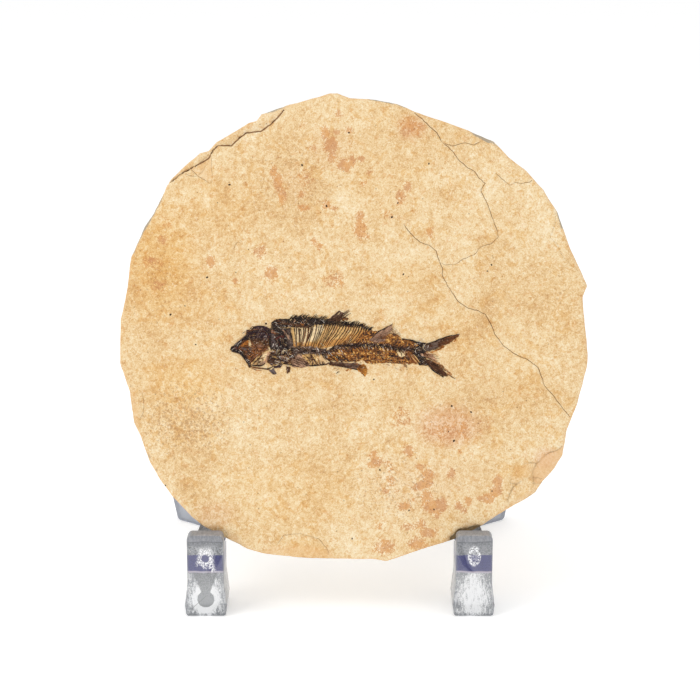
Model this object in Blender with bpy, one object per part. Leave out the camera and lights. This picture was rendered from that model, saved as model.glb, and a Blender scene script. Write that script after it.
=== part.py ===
"""Fossil fish slab leaning on a two-piece clear plastic display stand.

The slab is a thin, hand-trimmed plate of laminated limestone with one small fish in low relief
in its front face. It rests on the ledges of two crossed easel arms, which meet in a half-lap.

Metres, +Z up, the fish looks towards -Y. The origin is at the middle of the base.
"""
import math
import random

import bmesh
import bpy
from mathutils import Vector
from mathutils.geometry import delaunay_2d_cdt

MM = 0.001

# Driving dimensions
LEAN = math.radians(20.0)            # the slab leans back by this much
TOUCH_GAP = 0.3 * MM                 # between neighbours that touch
SLAB_THICKNESS = 10.0 * MM
SEAT_BACK = 5.0 * MM                 # slab face, at the ledge, behind the feet's front faces
SEAT_HEIGHT = 23.6 * MM              # slab face, at the ledge, above the table
STAND_OFFSET = -4.5 * MM             # the stand's middle is left of the slab's middle

# Slab outline, seen from the front: millimetres across and up from the slab's centre
SLAB_OUTLINE = (
    (-5.3, 76.2), (-1.3, 74.6), (6.4, 74.3), (13.6, 73.0), (18.8, 70.6), (29.6, 66.8), (36.7, 64.3),
    (45.2, 60.7), (47.0, 58.6), (50.0, 55.2), (55.6, 50.8), (60.9, 44.8), (65.7, 37.0), (69.7, 25.1),
    (73.7, 16.4), (74.9, 13.3), (73.4, 9.7), (74.0, 2.0), (74.9, -9.0), (74.6, -12.6), (71.4, -24.3),
    (67.8, -32.9), (66.4, -41.0), (63.9, -45.1), (60.1, -49.1), (57.7, -52.9), (53.7, -55.4),
    (45.6, -59.9), (40.0, -63.7), (31.9, -67.7), (23.9, -70.2), (15.3, -73.0), (10.3, -74.7),
    (5.8, -74.0), (-10.7, -73.8), (-19.8, -73.2), (-28.9, -72.2), (-33.9, -70.7), (-38.4, -68.4),
    (-43.5, -65.8), (-48.0, -63.5), (-51.1, -60.9), (-57.7, -54.1), (-61.8, -48.6), (-64.9, -43.5),
    (-67.9, -35.5), (-70.3, -30.4), (-71.6, -21.2), (-74.9, -11.5), (-74.8, 2.2), (-73.0, 11.2),
    (-71.6, 22.6), (-67.6, 32.4), (-64.6, 37.0), (-61.1, 43.8), (-59.4, 48.0), (-53.0, 54.2),
    (-49.9, 56.8), (-47.1, 57.5), (-44.5, 60.4), (-38.2, 64.1), (-34.0, 66.8), (-31.5, 67.4),
    (-30.0, 69.5), (-24.3, 71.9), (-18.1, 73.2), (-7.9, 76.2))
OUTLINE_STEP = 4.5 * MM              # longer sides of the outline are divided

# Places where the edge has spalled: from and to (degrees), width in from the edge, depth
SPALLS = (
    (107.0, 141.0, 2.8, 1.3), (77.0, 87.0, 1.4, 1.2), (50.0, 58.0, 2.2, 2.0), (24.0, 31.0, 1.5, 1.4),
    (-50.0, -37.0, 4.2, 0.9), (-67.0, -58.0, 3.8, 1.3), (-112.0, -95.0, 6.5, 0.9),
    (-126.0, -117.0, 3.4, 1.4), (-164.0, -154.0, 3.0, 0.8), (143.0, 160.0, 1.4, 1.6))
RIM_WIDTH = 0.7 * MM                 # the rest of the rim is only lightly rounded
RIM_DEPTH = 0.45 * MM

# Fish outline: millimetres along the body from the snout and up from it
FISH_SNOUT = (-39.5 * MM, -7.2 * MM)  # across and up from the slab's centre
FISH_OUTLINE = (
    (0.0, 0.0), (1.9, 1.9), (3.8, 3.3), (5.5, 6.1), (8.0, 7.5), (11.5, 7.8), (12.7, 8.5), (15.5, 9.7),
    (18.4, 9.9), (21.4, 11.1), (25.3, 10.6), (28.1, 10.1), (31.2, 9.8),
    (34.6, 12.7), (38.2, 12.4), (35.9, 10.4), (34.6, 9.1), (38.5, 8.5), (41.9, 8.1), (44.5, 6.8),
    (47.1, 5.7), (52.0, 8.3), (52.8, 6.1), (54.3, 4.4), (58.7, 2.3), (61.8, 1.7),
    (66.3, 3.2), (69.9, 4.4), (73.2, 5.0), (71.5, 2.4), (68.2, 0.6), (64.8, -1.1),
    (67.1, -4.1), (69.9, -6.8), (71.5, -9.4), (67.8, -8.9), (65.6, -7.5), (63.9, -6.1), (61.9, -5.5),
    (57.4, -4.7), (53.5, -4.3), (48.6, -4.4), (44.0, -4.6), (43.5, -6.7), (42.9, -8.6), (40.3, -6.4),
    (37.8, -6.1), (33.8, -5.0), (27.9, -5.2), (22.8, -5.9), (19.2, -5.6), (18.2, -8.0), (17.2, -5.7),
    (15.9, -5.9), (14.4, -8.0), (12.3, -6.8), (9.8, -6.8), (6.2, -5.9), (5.4, -4.1), (3.8, -2.4),
    (2.0, -1.0))
FISH_POCKET_DEPTH = 0.8 * MM         # below the slab's face
FISH_UNDERSIDE = 0.5 * MM            # below the slab's face
FISH_EDGE_RISE = 0.12                # millimetres above the slab's face, as are the heights below

# Stand arms
FOOT_WIDTH = 11.5 * MM
FOOT_DEPTH = 17.0 * MM
FOOT_HEIGHT = 26.7 * MM
FOOT_FLARE = 0.9 * MM                # how far the foot spreads at its base, each side
FOOT_SPACING = 84.6 * MM             # middle to middle
LIP_CLEARANCE = 0.6 * MM             # between the slab's face and the lip in front of it
ARM_THICKNESS = 5.0 * MM
ARM_START = (43.8 * MM, 14.0 * MM)   # across and back, inside the front foot
ARM_END = (-59.0 * MM, 100.0 * MM)   # across and back, at the rear foot's end
ARM_BAND = 12.0 * MM                 # width of the legs, seen from the side
ARM_TOP = 106.0 * MM
ARM_CREST = 6.0 * MM                 # length of the arm's level top behind the slab
ARCH_TOP = 86.0 * MM                 # corner under the crossing, before it is rounded
ARCH_FRONT = 22.0 * MM               # the arch leaves the front foot at this height
NECK = 6.5 * MM                      # arm behind the slab, where it leaves the front foot
HALF_LAP_HEIGHT = 88.5 * MM
HALF_LAP_REACH = 20.0 * MM           # cutters run this far past the arm
REAR_FOOT_LENGTH = 21.0 * MM
REAR_FOOT_HEIGHT = 12.0 * MM
REAR_FOOT_LEAN = 2.5 * MM            # its end slopes outwards this much, going up
EDGE_BEVEL = 0.6 * MM


def clear_scene():
    for old in list(bpy.data.objects):
        bpy.data.objects.remove(old, do_unlink=True)


def make_material(name, colour, roughness, transmission=0.0):
    material = bpy.data.materials.new(name)
    material.use_nodes = True
    shader = material.node_tree.nodes["Principled BSDF"]
    shader.inputs["Base Color"].default_value = (*colour, 1.0)
    shader.inputs["Roughness"].default_value = roughness
    shader.inputs["Metallic"].default_value = 0.0
    shader.inputs["Transmission Weight"].default_value = transmission
    return material


def limestone():
    return make_material("limestone", (0.79, 0.60, 0.34), 0.85)


def fossil_bone():
    return make_material("fossil_bone", (0.06, 0.03, 0.02), 0.5)


def clear_plastic():
    return make_material("clear_plastic", (0.86, 0.88, 0.92), 0.08, transmission=1.0)


def new_object(name, mesh, parent=None, material=None):
    item = bpy.data.objects.new(name, mesh)
    bpy.context.scene.collection.objects.link(item)
    item.parent = parent
    if material:
        mesh.materials.append(material)
    return item


def finish_mesh(name, builder):
    """Turn a bmesh into a mesh with its faces pointing outwards."""
    builder.normal_update()
    bmesh.ops.recalc_face_normals(builder, faces=builder.faces)
    mesh = bpy.data.meshes.new(name)
    builder.to_mesh(mesh)
    builder.free()
    return mesh


def use_as_tool(item):
    item.hide_render = True
    item.display_type = "WIRE"
    return item


def combine(item, tool, operation):
    modifier = item.modifiers.new(operation.lower() + "_" + tool.name, "BOOLEAN")
    modifier.object = tool
    modifier.operation = operation
    modifier.solver = "EXACT"


# --- Slab ------------------------------------------------------------------------------------

def divided(points, step):
    """The closed outline with its long sides divided into equal parts."""
    result = []
    for here, ahead in zip(points, points[1:] + points[:1]):
        count = max(1, round((ahead - here).length / step))
        result += [here.lerp(ahead, part / count) for part in range(count)]
    return result


def slab_outline():
    points = [Vector(point) * MM for point in SLAB_OUTLINE]
    return divided(points, OUTLINE_STEP)


def spall_at(angle):
    """Width and depth of the broken rim in the direction of angle (degrees)."""
    width = RIM_WIDTH
    depth = RIM_DEPTH
    for first, last, spall_width, spall_depth in SPALLS:
        if first < angle < last:
            swell = math.sin(math.pi * (angle - first) / (last - first)) ** 0.4
            width = max(width, spall_width * swell * MM)
            depth = max(depth, spall_depth * swell * MM)
    return width, depth


def edge_wave(angle, seed, reach):
    """A smooth, irregular amount from 0 to reach that follows the edge round."""
    waves = random.Random(seed)
    total = 0.0
    for cycles in (5, 11, 23):
        total += math.sin(math.radians(angle) * cycles + waves.uniform(0.0, math.tau))
    return reach * (total / 3.0 + 1.0) / 2.0


def inwards(point, distance):
    return point * (1.0 - distance / point.length)


def face_ripple(point):
    """Height of the bedding plane's gentle undulation; flat round the fish."""
    ripple = 0.18 * MM * math.sin(point.x / (19 * MM) + 1.0) * math.cos(point.y / (14 * MM))
    away_from_fish = min(1.0, max(0.0, (abs(point.y + 7 * MM) - 14 * MM) / (12 * MM)))
    return ripple * away_from_fish


def back_bump(point):
    """How far the rough back stands short of the full thickness."""
    lumps = math.sin(point.x / (11 * MM)) * math.sin(point.y / (13 * MM) + 0.8)
    return 0.45 * MM * (1.0 + lumps)


def slab_rings():
    """Rings of points from the middle of the front face, round the edge, to the middle of the back.

    Each point is (across, depth behind the face, up).
    """
    outline = slab_outline()
    angles = [math.degrees(math.atan2(point.y, point.x)) for point in outline]
    spalls = [spall_at(angle) for angle in angles]

    rings = []
    for share in (0.12, 0.32, 0.5, 0.66, 0.8, 0.92):
        points = [inwards(point, width) * share for point, (width, _) in zip(outline, spalls)]
        rings.append([(point.x, -face_ripple(point), point.y) for point in points])
    rim = [inwards(point, width) for point, (width, _) in zip(outline, spalls)]
    rings.append([(point.x, -face_ripple(point), point.y) for point in rim])
    foot = [inwards(point, width * 0.8) for point, (width, _) in zip(outline, spalls)]
    rings.append([(point.x, 0.8 * depth, point.y) for point, (_, depth) in zip(foot, spalls)])
    brink = [inwards(point, edge_wave(angle, 1, 0.35 * MM)) for point, angle in zip(outline, angles)]
    rings.append([(point.x, depth + 0.15 * MM, point.y) for point, (_, depth) in zip(brink, spalls)])

    walls = ((0.36, 2, 0.0), (0.58, 3, 1.1 * MM), (0.8, 4, 1.3 * MM))
    for share, seed, reach in walls:
        points = [inwards(point, edge_wave(angle, seed, reach)) for point, angle in zip(outline, angles)]
        rings.append([(point.x, share * SLAB_THICKNESS, point.y) for point in points])
    back_rim = [inwards(point, 0.7 * MM + edge_wave(angle, 5, 1.6 * MM))
                for point, angle in zip(outline, angles)]
    rings.append([(point.x, SLAB_THICKNESS - 0.5 * MM, point.y) for point in back_rim])
    for share in (0.93, 0.7, 0.45, 0.2):
        points = [point * share for point in back_rim]
        rings.append([(point.x, SLAB_THICKNESS - back_bump(point), point.y) for point in points])
    return rings


def slab_mesh():
    builder = bmesh.new()
    rings = [[builder.verts.new(point) for point in ring] for ring in slab_rings()]
    count = len(rings[0])
    for inner, outer in zip(rings, rings[1:]):
        for index in range(count):
            after = (index + 1) % count
            builder.faces.new((inner[index], inner[after], outer[after], outer[index]))
    for ring, centre in ((rings[0], (0.0, 0.0, 0.0)), (rings[-1], (0.0, SLAB_THICKNESS - 0.5 * MM, 0.0))):
        hub = builder.verts.new(centre)
        for index in range(count):
            builder.faces.new((hub, ring[index], ring[(index + 1) % count]))
    return finish_mesh("slab", builder)


def ledge_level():
    """How far up the slab the ledges run: just under its edge over the two feet."""
    outline = slab_outline()
    inner = FOOT_SPACING / 2 - FOOT_WIDTH / 2
    outer = FOOT_SPACING / 2 + FOOT_WIDTH / 2
    over_feet = [point.y for point in divided(outline, 0.4 * MM)
                 if inner <= abs(point.x - STAND_OFFSET) <= outer and point.y < 0]
    return min(over_feet) - TOUCH_GAP


# --- Fish ------------------------------------------------------------------------------------

def along(profile, x):
    """Height of a profile, given as (along, up) points, at x."""
    for (x0, y0), (x1, y1) in zip(profile, profile[1:]):
        if x <= x1:
            share = max(0.0, (x - x0) / (x1 - x0))
            return y0 + share * (y1 - y0)
    return profile[-1][1]


BACK_PROFILE = ((12.7, 8.3), (21.4, 10.6), (31.2, 9.4), (38.5, 8.1), (44.5, 6.3), (58.7, 1.9))
BELLY_PROFILE = ((9.8, -6.4), (22.8, -5.4), (33.8, -4.6), (53.5, -3.9), (61.9, -5.0))
SPINE_PROFILE = ((18.5, 0.6), (31.3, 0.5), (34.0, 1.4), (42.7, 1.1), (51.4, 0.5), (62.5, -1.2))


def line_heights(points, rise, parts):
    """Points along a broken line, all at one height."""
    result = []
    for (x0, y0), (x1, y1) in zip(points, points[1:]):
        for part in range(parts):
            share = part / parts
            result.append((x0 + share * (x1 - x0), y0 + share * (y1 - y0), rise))
    result.append((points[-1][0], points[-1][1], rise))
    return result


def rib(x, lean, upper, rise):
    """One rib, or one hollow between ribs, from near the spine to near the back or the belly."""
    edge = BACK_PROFILE if upper else BELLY_PROFILE
    tip = along(edge, x)
    root = along(SPINE_PROFILE, x - lean)
    result = []
    for share in (0.16, 0.4, 0.64, 0.9):
        bow = 0.5 * math.sin(math.pi * share)
        result.append((x - lean * (1.0 - share) + bow, root + share * (tip - root), rise))
    return result


def rib_cage():
    points = []
    for index in range(31):
        x = 20.6 + index * 0.95
        lean = 0.4 + 4.2 * min(1.0, max(0.0, (x - 22.0) / 14.0))
        rise = 0.62 if index % 2 else 0.16
        points += rib(x, lean, True, rise)
    for index in range(23):
        x = 22.5 + index * 1.15
        rise = 0.5 if index % 2 else 0.16
        points += rib(x, -1.6, False, rise)
    return points


def backbone():
    points = []
    for index in range(28):
        x = 19.2 + index * 1.55
        y = along(SPINE_PROFILE, x)
        rise = 0.85 if index % 2 else 0.62
        points += [(x, y, rise), (x + 0.4, y + 0.62, 0.3), (x + 0.4, y - 0.62, 0.3)]
    return points


def skull():
    gill_cover = ((13.2, 7.2), (16.6, 4.6), (18.0, 0.6), (17.2, -3.4))
    cheek = ((10.6, 6.2), (12.8, 3.4), (13.0, 0.0), (10.8, -2.2))
    jaw = ((1.6, -0.2), (4.6, -2.6), (7.2, -5.0), (12.0, -5.7))
    snout = ((1.4, 0.6), (4.4, 2.6), (6.4, 5.2), (10.0, 6.6))
    points = line_heights(gill_cover, 0.95, 2)
    points += line_heights(cheek, 0.9, 2)
    points += line_heights(jaw, 0.6, 2)
    points += line_heights(snout, 0.75, 2)
    points += [(14.9, 2.2, 0.55), (14.8, -2.4, 0.45), (10.4, -4.0, 0.1), (8.4, -2.4, 0.5)]
    eye = (8.0, 2.4)
    for index in range(8):
        turn = math.tau * index / 8
        points.append((eye[0] + 1.7 * math.cos(turn), eye[1] + 1.7 * math.sin(turn), 0.8))
    points.append((*eye, 0.3))
    return points


def fin_rays():
    rays = (
        ((32.6, 9.9), (34.8, 12.1)), ((33.9, 9.7), (36.6, 11.7)),
        ((48.6, 5.9), (51.6, 7.6)), ((50.2, 5.4), (52.0, 6.3)),
        ((35.4, -5.0), (42.2, -6.4)), ((39.6, -5.2), (42.9, -7.6)),
        ((62.6, 0.7), (72.0, 4.2)), ((63.4, -0.4), (70.0, 2.2)),
        ((62.6, -4.0), (68.6, -8.2)), ((63.4, -2.2), (69.8, -7.8)))
    points = []
    for ray in rays:
        points += line_heights(ray, 0.42, 4)
    return points


def inside(point, outline, margin):
    """Whether a point is inside the outline and at least margin from it."""
    crossings = 0
    nearest = 1e9
    for (x0, y0), (x1, y1) in zip(outline, outline[1:] + outline[:1]):
        if (y0 > point[1]) != (y1 > point[1]):
            if point[0] < x0 + (point[1] - y0) * (x1 - x0) / (y1 - y0):
                crossings += 1
        side = Vector((x1 - x0, y1 - y0))
        share = (Vector(point) - Vector((x0, y0))).dot(side) / side.length_squared
        foot = Vector((x0, y0)) + min(1.0, max(0.0, share)) * side
        nearest = min(nearest, (Vector(point) - foot).length)
    return crossings % 2 == 1 and nearest > margin


def fish_mesh():
    """The fish as one thin plate whose upper side rises and falls with its bones."""
    outline = divided([Vector(point) for point in FISH_OUTLINE], 1.6)
    border = [(point.x, point.y) for point in outline]
    relief = skull() + backbone() + rib_cage() + fin_rays()
    kept = []
    for x, y, rise in relief:
        near_other = any((x - a) ** 2 + (y - b) ** 2 < 0.32 ** 2 for a, b, _ in kept)
        if not near_other and inside((x, y), border, 0.3):
            kept.append((x, y, rise))

    flat = [Vector(point) for point in border] + [Vector((x, y)) for x, y, _ in kept]
    rises = [FISH_EDGE_RISE] * len(border) + [rise for _, _, rise in kept]
    sides = [(index, (index + 1) % len(border)) for index in range(len(border))]
    places, _, triangles, origins, _, _ = delaunay_2d_cdt(flat, sides, [], 1, 1e-5)

    builder = bmesh.new()
    across, up = FISH_SNOUT
    top = []
    bottom = []
    for place, origin in zip(places, origins):
        x = across + place.x * MM
        z = up + place.y * MM
        top.append(builder.verts.new((x, -rises[origin[0]] * MM, z)))
        bottom.append(builder.verts.new((x, FISH_UNDERSIDE, z)))
    for triangle in triangles:
        builder.faces.new([top[index] for index in triangle])
        builder.faces.new([bottom[index] for index in reversed(triangle)])
    rim = [edge for edge in builder.edges if edge.is_boundary and edge.verts[0] in top]
    partner = dict(zip(top, bottom))
    for edge in rim:
        first, second = edge.verts
        builder.faces.new((first, second, partner[second], partner[first]))
    bmesh.ops.dissolve_limit(builder, angle_limit=math.radians(0.5), verts=bottom,
                             edges=[edge for edge in builder.edges if edge.calc_length() > 0
                                    and all(vert in bottom for vert in edge.verts)])
    return finish_mesh("fossil_fish", builder)


def spread(outline, distance):
    """The outline moved outwards by distance, with its sharp corners kept short."""
    count = len(outline)
    result = []
    for index, point in enumerate(outline):
        behind = (point - outline[index - 1]).normalized()
        ahead = (outline[(index + 1) % count] - point).normalized()
        normal = Vector((-behind.y - ahead.y, behind.x + ahead.x))
        if normal.length < 0.3:
            normal = behind - ahead
        normal.normalize()
        facing = max(0.5, normal.dot(Vector((-behind.y, behind.x))))
        result.append(point + normal * (distance / facing))
    return result


def fish_pocket_mesh():
    """Cutter for the hollow that the fish sits in."""
    outline = spread([Vector(point) * MM for point in FISH_OUTLINE], TOUCH_GAP)
    across, up = FISH_SNOUT
    builder = bmesh.new()
    floor = [builder.verts.new((across + p.x, FISH_POCKET_DEPTH, up + p.y)) for p in outline]
    face = builder.faces.new(floor)
    raised = bmesh.ops.extrude_face_region(builder, geom=[face])["geom"]
    corners = [item for item in raised if isinstance(item, bmesh.types.BMVert)]
    bmesh.ops.translate(builder, vec=(0.0, -4 * MM, 0.0), verts=corners)
    return finish_mesh("fish_pocket", builder)


# --- Stand -----------------------------------------------------------------------------------

def box_mesh(name, low, high):
    builder = bmesh.new()
    bmesh.ops.create_cube(builder, size=1.0)
    for vert in builder.verts:
        vert.co = [low[axis] if vert.co[axis] < 0 else high[axis] for axis in range(3)]
    return finish_mesh(name, builder)


def rounded(corners):
    """An outline from (x, y, radius) corners, each rounded by a short arc."""
    points = []
    count = len(corners)
    for index, (x, y, radius) in enumerate(corners):
        corner = Vector((x, y))
        if radius == 0:
            points.append(corner)
            continue
        before = (Vector(corners[index - 1][:2]) - corner).normalized()
        after = (Vector(corners[(index + 1) % count][:2]) - corner).normalized()
        half = math.acos(max(-1.0, min(1.0, before.dot(after)))) / 2
        reach = radius / math.tan(half)
        centre = corner + (before + after).normalized() * (radius / math.sin(half))
        start = corner + before * reach - centre
        end = corner + after * reach - centre
        turn = start.angle_signed(end)
        steps = max(2, round(abs(turn) / math.radians(20)))
        for step in range(steps + 1):
            angle = -turn * step / steps
            cosine = math.cos(angle)
            sine = math.sin(angle)
            spoke = Vector((start.x * cosine - start.y * sine, start.x * sine + start.y * cosine))
            points.append(centre + spoke)
    return points


def prism_mesh(name, outline, depth, place):
    """An outline extruded by depth, its long edges bevelled, with place(x, y, z) giving each vertex."""
    builder = bmesh.new()
    face = builder.faces.new([builder.verts.new((point.x, point.y, 0.0)) for point in outline])
    raised = bmesh.ops.extrude_face_region(builder, geom=[face])["geom"]
    corners = [item for item in raised if isinstance(item, bmesh.types.BMVert)]
    bmesh.ops.translate(builder, vec=(0.0, 0.0, depth), verts=corners)
    rims = [edge for edge in builder.edges
            if abs(edge.verts[0].co.z - edge.verts[1].co.z) < depth / 2]
    bmesh.ops.bevel(builder, geom=rims, offset=EDGE_BEVEL, segments=1, affect="EDGES")
    for vert in builder.verts:
        vert.co = place(*vert.co)
    return finish_mesh(name, builder)


def foot_outline():
    """Front of a foot: upright, with rounded top corners and a spread base."""
    half = FOOT_WIDTH / 2
    base = half + FOOT_FLARE
    side = [(base - 0.4 * MM, 0.0, 0.9 * MM), (base, 3.4 * MM, 1.5 * MM), (half, 11 * MM, 6 * MM),
            (half, FOOT_HEIGHT, 1.6 * MM)]
    mirrored = [(-x, z, radius) for x, z, radius in reversed(side)]
    return rounded(side + mirrored)


def arm_direction():
    run = Vector(ARM_END) - Vector(ARM_START)
    return run.normalized(), run.length


def arm_outline():
    """Side view of an arm in its own plane: along from the front foot, and up.

    A leg rises from the front foot along the slab's back, another drops to the rear foot.
    """
    direction, length = arm_direction()
    slope = direction.y / math.tan(LEAN)                # of the edge that the slab leans on
    seat_rear = SEAT_BACK + SLAB_THICKNESS * math.cos(LEAN)
    seat_low = SEAT_HEIGHT - SLAB_THICKNESS * math.sin(LEAN)

    def support(height):
        """Where the slab's back meets the arm's plane."""
        return (seat_rear - ARM_START[1]) / direction.y + (height - seat_low) / slope

    spare = 8 * MM                                      # trimmed off by the slab's room
    heel = length - REAR_FOOT_LENGTH
    toe = length - 2 * REAR_FOOT_LEAN
    crest = support(ARM_TOP) + ARM_CREST
    band = ARM_BAND / math.sin(math.atan(slope))
    return rounded([
        (0.0, 7 * MM, 0.0),
        (5 * MM, 13 * MM, 3 * MM),
        (support(ARCH_FRONT) + NECK, ARCH_FRONT, 4 * MM),
        (support(ARCH_TOP - NECK) + band, ARCH_TOP, 7 * MM),
        (heel, 3.5 * MM, 3 * MM),
        (heel + REAR_FOOT_LEAN, 0.0, 1 * MM),
        (length - REAR_FOOT_LEAN, 0.0, 1.6 * MM),
        (length, 0.7 * REAR_FOOT_HEIGHT, 2.2 * MM),
        (toe, 1.6 * REAR_FOOT_HEIGHT, 4 * MM),
        (crest, ARM_TOP, 5 * MM),
        (support(ARM_TOP) - spare, ARM_TOP, 3 * MM),
        (support(ARM_TOP / 2) - spare, ARM_TOP / 2, 0.0),
        (-3 * MM, ARCH_FRONT, 0.0)])


def arm_mesh(name, side):
    """The arm's plate; side is 1 for the right arm and -1 for the left."""
    direction, _ = arm_direction()
    across = Vector((direction.y, -direction.x))

    def place(along_arm, height, depth):
        spot = Vector(ARM_START) + direction * along_arm + across * (depth - ARM_THICKNESS / 2)
        return side * spot.x, spot.y, height

    return prism_mesh(name, arm_outline(), ARM_THICKNESS, place)


def foot_mesh(name, side):
    middle = side * FOOT_SPACING / 2

    def place(across, height, depth):
        return middle + across, depth, height

    return prism_mesh(name, foot_outline(), FOOT_DEPTH, place)


def half_lap_mesh(name, side, low, high):
    """Cutter that clears the way for the other arm between two heights."""
    direction, _ = arm_direction()
    across = Vector((direction.y, -direction.x))
    crossing = -ARM_START[0] / direction.x
    half = ARM_THICKNESS / 2 + TOUCH_GAP
    builder = bmesh.new()
    bmesh.ops.create_cube(builder, size=2.0)
    for vert in builder.verts:
        forward = crossing + vert.co.x * HALF_LAP_REACH / 2
        spot = Vector(ARM_START) + direction * forward + across * (half * vert.co.y)
        vert.co = (-side * spot.x, spot.y, high if vert.co.z > 0 else low)
    return finish_mesh(name, builder)


def build_arm(name, side, root, slab_frame, level, material):
    """One arm: its plate, trimmed to the slab's back, its foot with the ledge, and its half-lap."""
    far = 100 * MM

    def add_tool(suffix, mesh, parent):
        return use_as_tool(new_object(name + suffix, mesh, parent, material))

    arm = new_object(name, arm_mesh(name, side), root, material)
    slab_room = box_mesh(name + "_slab_room", (-far, -far, level - far),
                         (far, SLAB_THICKNESS + TOUCH_GAP, far))
    combine(arm, add_tool("_slab_room", slab_room, slab_frame), "DIFFERENCE")

    foot = add_tool("_foot", foot_mesh(name + "_foot", side), root)
    seat_room = box_mesh(name + "_seat_room", (-far, -LIP_CLEARANCE, level), (far, far, far))
    combine(foot, add_tool("_seat_room", seat_room, slab_frame), "DIFFERENCE")
    combine(arm, foot, "UNION")

    low = HALF_LAP_HEIGHT - TOUCH_GAP / 2 if side < 0 else HALF_LAP_HEIGHT - 1.5 * HALF_LAP_REACH
    high = HALF_LAP_HEIGHT + 1.5 * HALF_LAP_REACH if side < 0 else HALF_LAP_HEIGHT + TOUCH_GAP / 2
    half_lap = half_lap_mesh(name + "_half_lap", side, low, high)
    combine(arm, add_tool("_half_lap", half_lap, root), "DIFFERENCE")
    return arm


def build():
    clear_scene()
    level = ledge_level()
    root = new_object("stand_frame", None)
    slab_frame = new_object("slab_frame", None, root)
    slab_frame.rotation_euler = (-LEAN, 0.0, 0.0)
    slab_frame.location = (-STAND_OFFSET, SEAT_BACK - level * math.sin(LEAN),
                           SEAT_HEIGHT - level * math.cos(LEAN))

    slab = new_object("slab", slab_mesh(), slab_frame, limestone())
    pocket = use_as_tool(new_object("fish_pocket", fish_pocket_mesh(), slab_frame))
    combine(slab, pocket, "DIFFERENCE")
    new_object("fossil_fish", fish_mesh(), slab_frame, fossil_bone())

    plastic = clear_plastic()
    build_arm("left_stand_arm", -1, root, slab_frame, level, plastic)
    arm = build_arm("right_stand_arm", 1, root, slab_frame, level, plastic)
    stand_depth = max(vert.co.y for vert in arm.data.vertices)
    root.location = (STAND_OFFSET, -stand_depth / 2, 0.0)


build()
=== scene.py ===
"""Looks of a fossil fish slab on a two-piece clear plastic display stand, in metres, +Z up."""
import math
import random

import bmesh
import bpy
import numpy as np
from mathutils import Matrix, Vector, noise
from mathutils.geometry import delaunay_2d_cdt


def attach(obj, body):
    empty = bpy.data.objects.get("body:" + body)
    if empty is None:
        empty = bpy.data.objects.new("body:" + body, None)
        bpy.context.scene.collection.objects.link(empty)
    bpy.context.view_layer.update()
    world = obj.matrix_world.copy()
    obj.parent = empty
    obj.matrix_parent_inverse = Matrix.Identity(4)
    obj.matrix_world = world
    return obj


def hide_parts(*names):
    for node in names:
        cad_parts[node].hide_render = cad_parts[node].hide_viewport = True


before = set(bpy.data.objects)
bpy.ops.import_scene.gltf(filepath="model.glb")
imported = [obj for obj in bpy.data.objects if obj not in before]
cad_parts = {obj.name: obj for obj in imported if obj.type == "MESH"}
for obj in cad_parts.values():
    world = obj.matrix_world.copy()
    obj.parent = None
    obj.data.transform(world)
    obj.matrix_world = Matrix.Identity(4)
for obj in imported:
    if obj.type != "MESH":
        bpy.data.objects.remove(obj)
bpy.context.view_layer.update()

MM = 0.001


# --- Room ------------------------------------------------------------------------------------
# A pale seamless floor, a white surround and broad soft lamps, as in a light tent for small goods,
# and the camera, which looks slightly down at the slab.

LEAN = math.radians(20.0)                    # the slab leans back by this much
SLAB_CENTRE = Vector((0.0, -22.52, 87.33)) * MM   # on its front face

CAMERA_DISTANCE = 700 * MM
CAMERA_PITCH = math.radians(14.0)
CAMERA_OFFSET = (-1.276 * MM, 7.337 * MM)    # left of the slab's centre, and below it, in the frame
FOCAL_LENGTH = 112.8                         # millimetres on a 36 mm sensor
FLOOR_GAP = 0.06 * MM                        # the feet's flat bases stand clear of the floor by this
FLOOR_SIZE = 60.0
FLOOR_GLOW = 0.30
SURROUND_GLOW = 0.74

bpy.context.scene.view_settings.view_transform = "Standard"

camera = bpy.data.objects.new("camera", bpy.data.cameras.new("camera"))
bpy.context.scene.collection.objects.link(camera)
bpy.context.scene.camera = camera
camera.data.lens = FOCAL_LENGTH
camera.data.sensor_width = 36.0
camera.data.clip_start = 0.01
forward = Vector((0.0, math.cos(CAMERA_PITCH), -math.sin(CAMERA_PITCH)))
upward = Vector((0.0, math.sin(CAMERA_PITCH), math.cos(CAMERA_PITCH)))
camera.location = (SLAB_CENTRE - forward * CAMERA_DISTANCE - upward * CAMERA_OFFSET[1]
                   + Vector((CAMERA_OFFSET[0], 0.0, 0.0)))
camera.rotation_euler = (math.pi / 2 - CAMERA_PITCH, 0.0, 0.0)

world = bpy.data.worlds.new("light_tent")
world.use_nodes = True
world.node_tree.nodes["Background"].inputs["Color"].default_value = (1.0, 1.0, 1.0, 1.0)
world.node_tree.nodes["Background"].inputs["Strength"].default_value = SURROUND_GLOW
bpy.context.scene.world = world

# name, place, size and power; each lamp looks at the slab
LAMPS = (
    ("left_softbox", (-0.60, -0.45, 0.80), 0.45, 2.4),
    ("right_softbox", (0.70, -0.55, 0.55), 0.70, 0.4),
    ("top_softbox", (0.05, 0.15, 0.95), 0.70, 1.2),
)
for name, place, size, power in LAMPS:
    lamp = bpy.data.objects.new(name, bpy.data.lights.new(name, "AREA"))
    bpy.context.scene.collection.objects.link(lamp)
    lamp.data.size = size
    lamp.data.energy = power
    lamp.location = place
    lamp.rotation_euler = (SLAB_CENTRE - Vector(place)).to_track_quat("-Z", "Y").to_euler()

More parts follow.
